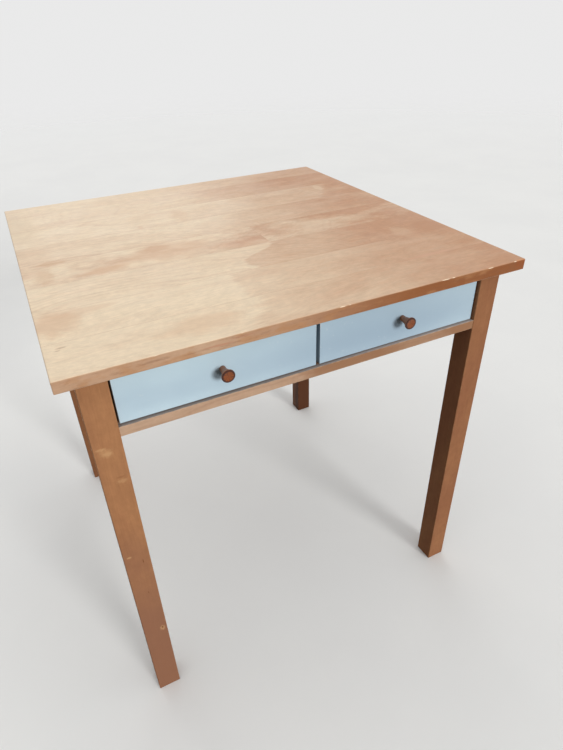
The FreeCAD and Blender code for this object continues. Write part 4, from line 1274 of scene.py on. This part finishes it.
# Painted light: the colour is multiplied by this towards the upper and the lower edge. The steps are
# heights.
PAINTED_LIGHT_NEAR_EDGES = (1.15, 1.14, 1.11, 1.0)
PAINTED_LIGHT_ABOVE = (664 * MM, 706 * MM)
PAINTED_LIGHT_BELOW = (658 * MM, 636 * MM, 0.0, 0.6)
PAINT_EDGE = colour(222, 228, 228)
PAINT_WEAR_WIDTH = 0.9 * MM
PAINT_WEAR_SHARE = 0.8
PAINT_SPECKS = Layer(Noise(160.0), (0.66, 0.8, 0.0, 0.25), PAINT_EDGE)
# A painted shadow of the knob lies a little to the left of each knob's middle and below it.
PAINTED_KNOB_SHADOW = colour(44, 48, 46)
KNOB_SHADOW_OFFSET = Vector((-5 * MM, 0.0, -4.5 * MM))
KNOB_SHADOW_REACH = (7 * MM, 4 * MM, 8 * MM)
KNOB_SHADOW_SHARE = 0.75
# Painted shade on the two end faces of a front, in the gap: how far inside its half width the paint turns
# darker.
PAINTED_GAP_SHADE = colour(160, 177, 189)
GAP_SHADE_FROM = 0.25 * MM
GAP_SHADE_TO = 0.05 * MM
SCUFFS = Noise((30.0, 30.0, 90.0), 5.0, 0.7)
SCUFF_STEP = (0.35, 0.75, 0.34, 0.5)
ORANGE_PEEL = Noise(700.0, 1.0)
PEEL_BUMP = (0.25, 0.05 * MM)
PAINT_SHINE = 0.3


def painted_shade_and_light(tree, along, up, base):
    """Paints shade towards the middle of the table and paints light above and below the knobs."""
    from_middle = calculate(tree, "ABSOLUTE", calculate(tree, "SUBTRACT", along, MIDDLE_SHADE_PLACE))
    base = blend(tree, soft_step(tree, from_middle, *MIDDLE_SHADE_STEP), base, PAINTED_MIDDLE_SHADE)
    above, below = (soft_step(tree, up, *step) for step in (PAINTED_LIGHT_ABOVE, PAINTED_LIGHT_BELOW))
    return blend(tree, calculate(tree, "MAXIMUM", above, below), base, PAINTED_LIGHT_NEAR_EDGES, kind="MULTIPLY")


def painted(name, node):
    """Light-blue satin paint with orange peel, drift, scuffs, thin edges, and painted shade and light."""
    material, tree, shader, coordinates = new_material(name)
    low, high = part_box(node)
    middle = (low + high) / 2
    half_width = high[0] - middle[0]
    parts = split(tree, coordinates)
    base = lay_cloud(tree, coordinates, PAINT_BLUE, PAINT_DRIFT)
    # Painted shade towards the middle of the table and painted light above and below the knobs.
    base = painted_shade_and_light(tree, parts["X"], parts["Z"], base)
    base = lay_cloud(tree, coordinates, base, PAINT_SPECKS)
    worn = wear_mask(tree, coordinates, low, high, PAINT_WEAR_WIDTH)
    base = lay(tree, base, worn, PAINT_WEAR_SHARE, PAINT_EDGE)
    # A painted shadow of the knob on the front, to its left and below it.
    knob_place = Vector((middle[0], low[1], middle[2]))
    knob_shadow = (knob_place + KNOB_SHADOW_OFFSET, KNOB_SHADOW_REACH, KNOB_SHADOW_SHARE, PAINTED_KNOB_SHADOW)
    base = lay_marks(tree, coordinates, base, [knob_shadow])
    # Painted shade on the end faces, in the gap between the fronts.
    aside = calculate(tree, "ABSOLUTE", calculate(tree, "SUBTRACT", parts["X"], middle[0]))
    side = soft_step(tree, aside, half_width - GAP_SHADE_FROM, half_width - GAP_SHADE_TO)
    base = blend(tree, side, base, PAINTED_GAP_SHADE)
    gloss = soft_step(tree, cloud(tree, coordinates, SCUFFS), *SCUFF_STEP)
    peel = cloud(tree, coordinates, ORANGE_PEEL)
    join_surface(tree, shader, base, gloss, peel, PEEL_BUMP, PAINT_SHINE)
    return material


print("paint:", [round(part, 3) for part in PAINT_BLUE])

# %% [markdown]
# The bottoms of the drawers are pressed board: brown wood fibre, felted so that its hairs lie both
# ways, with no rings and no edges of bare wood. Two stretched noises, one along X and one along Y,
# are the hairs, and the lighter of the two shows on top.

# %% Pressed board
PRESSED_PALE = colour(152, 116, 83)
PRESSED_LUMPS = Layer(Noise(24.0, 5.0, 0.7), MOST_NOISE, colour(118, 84, 58))
PRESSED_HAIR = colour(176, 140, 104)
HAIRS_PER_METRE = 900.0
HAIR_LENGTHS_PER_METRE = 110.0
HAIRS = (
    Noise((HAIR_LENGTHS_PER_METRE, HAIRS_PER_METRE, HAIRS_PER_METRE)),
    Noise((HAIRS_PER_METRE, HAIR_LENGTHS_PER_METRE, HAIRS_PER_METRE)),
)
HAIR_STEP = (0.52, 0.72, 0.0, 0.7)
FELT_GLOSS = (0.4, 0.7, 0.5, 0.62)
FELT_BUMP = (0.3, 0.05 * MM)
FELT_SHINE = 0.25


def pressed_board():
    """Brown pressed board: cloudy, with fine felted hairs and a faint dull gloss."""
    material, tree, shader, coordinates = new_material("pressed_board")
    base = lay_cloud(tree, coordinates, PRESSED_PALE, PRESSED_LUMPS)
    felt = calculate(tree, "MAXIMUM", *[cloud(tree, coordinates, hairs) for hairs in HAIRS])
    base = blend(tree, soft_step(tree, felt, *HAIR_STEP), base, PRESSED_HAIR)
    gloss = soft_step(tree, felt, *FELT_GLOSS)
    join_surface(tree, shader, base, gloss, felt, FELT_BUMP, FELT_SHINE)
    return material


hardboard = pressed_board()
print("material:", hardboard.name)

# %% Drawers
BOX_BOARDS = (("left_side", ALONG_Y), ("right_side", ALONG_Y), ("back", ALONG_X))
BOX_SEED_STEP = 2.9
DRAWER_SEED_STEP = 13
BOX_PITH = (0.05, 0.04)
BOX_TONE = 0.4

for number, drawer in enumerate(("left_drawer", "right_drawer")):
    dress(f"{drawer}_front", painted(f"{drawer}_paint", f"{drawer}_front"))
    ease_edges(f"{drawer}_front", EASED_FRONT)
    for order, (part, grain) in enumerate(BOX_BOARDS):
        seed = BOX_SEED_STEP * order + DRAWER_SEED_STEP * number
        dress_board(f"{drawer}_{part}", BOX_WOOD, grain, seed, BOX_PITH, BOX_TONE)
    dress(f"{drawer}_bottom", hardboard)
    ease_edges(f"{drawer}_bottom", EASED)
print("drawers dressed")

# %% [markdown]
# ## Screws
#
# The screws are zinc plated: a bright grey metal with a faint warm and blue cast, duller in spots.

# %% Zinc
ZINC_BLUE = colour(186, 190, 194)
ZINC_WARM = colour(206, 202, 190)
ZINC_HAZE = Noise(260.0, 3.0)
ZINC_GLOSS = (0.25, 0.45)
ZINC_SCRATCHES = Noise((900.0, 900.0, 300.0))
ZINC_BUMP = (0.2, 0.03 * MM)


def zinc_plate():
    """Zinc plating with cloudy colour and roughness."""
    material, tree, shader, coordinates = new_material("zinc_plate")
    haze = cloud(tree, coordinates, ZINC_HAZE)
    base = blend(tree, haze, ZINC_BLUE, ZINC_WARM)
    gloss = soft_step(tree, haze, *MOST_NOISE, *ZINC_GLOSS)
    scratches = cloud(tree, coordinates, ZINC_SCRATCHES)
    join_surface(tree, shader, base, gloss, scratches, ZINC_BUMP, metallic=1.0)
    return material


zinc = zinc_plate()
screw_nodes = [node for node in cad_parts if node.endswith(("_screws", "_bolt"))]
for node in screw_nodes:
    dress(node, zinc)
print("screw nodes:", len(screw_nodes))

# %% [markdown]
# ## The floor
#
# The floor is plain and pale, and lies a hair under the feet, so that no two faces share a plane.
# From below it lets the view through, so that the underside of the table can be looked at too. It
# looks pale to the camera and in reflections, but throws only a little light up at the table.

# %% Floor
FLOOR_HALF = 9.0
FLOOR_FADE_FROM = 2.5
FLOOR_DROP = 0.1 * MM
FLOOR_PALE = colour(232, 232, 230)
FLOOR_MOTTLE = Layer(Noise(2.0, 6.0, 0.6), (*MOST_NOISE, 0.0, 0.5), colour(226, 226, 225))
FLOOR_BOUNCE = colour(110, 110, 112)
FLOOR_ROUGHNESS = 0.9


def directly_seen(tree):
    """1 for what the camera sees, also in a reflection or through glass, and 0 for other light."""
    path = place(tree, "ShaderNodeLightPath").outputs
    seen = calculate(tree, "MAXIMUM", path["Is Camera Ray"], path["Is Glossy Ray"])
    return calculate(tree, "MAXIMUM", seen, path["Is Transmission Ray"])


def show_mixed(tree, share, first, second, output):
    """Sends a share of the second shader mixed into the first one to the output node."""
    mixed = place(tree, "ShaderNodeMixShader", {0: share, 1: first, 2: second})
    tree.links.new(mixed.outputs[0], tree.nodes[output].inputs["Surface"])


def floor_finish():
    """A pale matt floor with a faint mottle, that fades out far away and is seen through from below."""
    material, tree, shader, coordinates = new_material("pale_floor")
    base = lay_cloud(tree, coordinates, FLOOR_PALE, FLOOR_MOTTLE)
    base = blend(tree, directly_seen(tree), FLOOR_BOUNCE, base)
    matt = {"Roughness": FLOOR_ROUGHNESS, "Specular IOR Level": 0.0}
    fill_sockets(tree, shader, {"Base Color": base, **matt})
    from_middle = on_vectors(tree, "LENGTH", coordinates, output="Value")
    far = soft_step(tree, from_middle, FLOOR_FADE_FROM, FLOOR_HALF)
    seen = place(tree, "ShaderNodeLightPath").outputs["Is Camera Ray"]
    behind = place(tree, "ShaderNodeNewGeometry").outputs["Backfacing"]
    share = calculate(tree, "MAXIMUM", behind, calculate(tree, "MULTIPLY", far, seen))
    clear = place(tree, "ShaderNodeBsdfTransparent").outputs[0]
    show_mixed(tree, share, shader.outputs[0], clear, "Material Output")
    return material


corners = [(x * FLOOR_HALF, y * FLOOR_HALF, -FLOOR_DROP) for x, y in ((-1, -1), (1, -1), (1, 1), (-1, 1))]
floor_mesh = bpy.data.meshes.new("floor")
floor_mesh.from_pydata(corners, [], [(0, 1, 2, 3)])
floor_mesh.materials.append(floor_finish())
floor = bpy.data.objects.new("floor", floor_mesh)
bpy.context.scene.collection.objects.link(floor)
print("floor:", 2 * FLOOR_HALF, "m wide")

# %% [markdown]
# ## The light
#
# The light is soft: a sky that is brightest overhead, one wide low sun from the front right, as
# through a tall open door, and a weaker, very wide one from behind. So the top and the drawer
# fronts are bright, while the inner sides of the legs and the ledge of the rail fall back, the
# ledge also by painted shade. The suns stay out of reflections. A panel behind the table is seen
# only in them, where it lays a faint sheen on the lacquer.

# %% Light
WHITE = (1.0, 1.0, 1.0, 1.0)
# The sky's strength at the horizon and overhead, as the last two values of a soft step of height.
SKY_STEP = (0.0, 1.0, 0.12, 0.97)
BACKGROUND_STRENGTH = 0.82
# Each sun: its strength, where its light comes from and its width in degrees.
SUNS = {
    "wide_sun": (2.1, (0.28, -1.0, 0.30), 18),
    "back_fill": (0.9, (0.15, 1.0, 0.35), 60),
}
PANEL_PLACE = Vector((0.3, 3.4, 1.75))
PANEL_POWER = 11
PANEL_SIZE = 2.2


def light_sky():
    """A sky that is brighter above than at the horizon, and a pale plain background."""
    world = bpy.data.worlds.new("studio")
    bpy.context.scene.world = world
    world.use_nodes = True
    tree = world.node_tree
    height = split(tree, place(tree, "ShaderNodeTexCoord").outputs["Generated"])["Z"]
    sky = tree.nodes["Background"]
    fill_sockets(tree, sky, {"Color": WHITE, "Strength": soft_step(tree, height, *SKY_STEP)})
    pale = {"Color": WHITE, "Strength": BACKGROUND_STRENGTH}
    background = place(tree, "ShaderNodeBackground", pale).outputs[0]
    show_mixed(tree, directly_seen(tree), sky.outputs[0], background, "World Output")


def add_light(name, kind, strength, source_direction):
    """A lamp whose light comes from the given direction."""
    data = bpy.data.lights.new(name, kind)
    data.energy = strength
    lamp = bpy.data.objects.new(name, data)
    lamp.rotation_euler = Vector(source_direction).to_track_quat("Z", "Y").to_euler()
    bpy.context.scene.collection.objects.link(lamp)
    return lamp


light_sky()
for name, (strength, source, width) in SUNS.items():
    sun = add_light(name, "SUN", strength, source)
    sun.data.angle = math.radians(width)
    sun.visible_glossy = False
panel = add_light("sheen_panel", "AREA", PANEL_POWER, PANEL_PLACE - Vector((0, 0, TOP_Z)))
panel.data.size = PANEL_SIZE
panel.location = PANEL_PLACE
panel.visible_diffuse = False
panel.visible_camera = False
print("lamps:", *SUNS, panel.name)
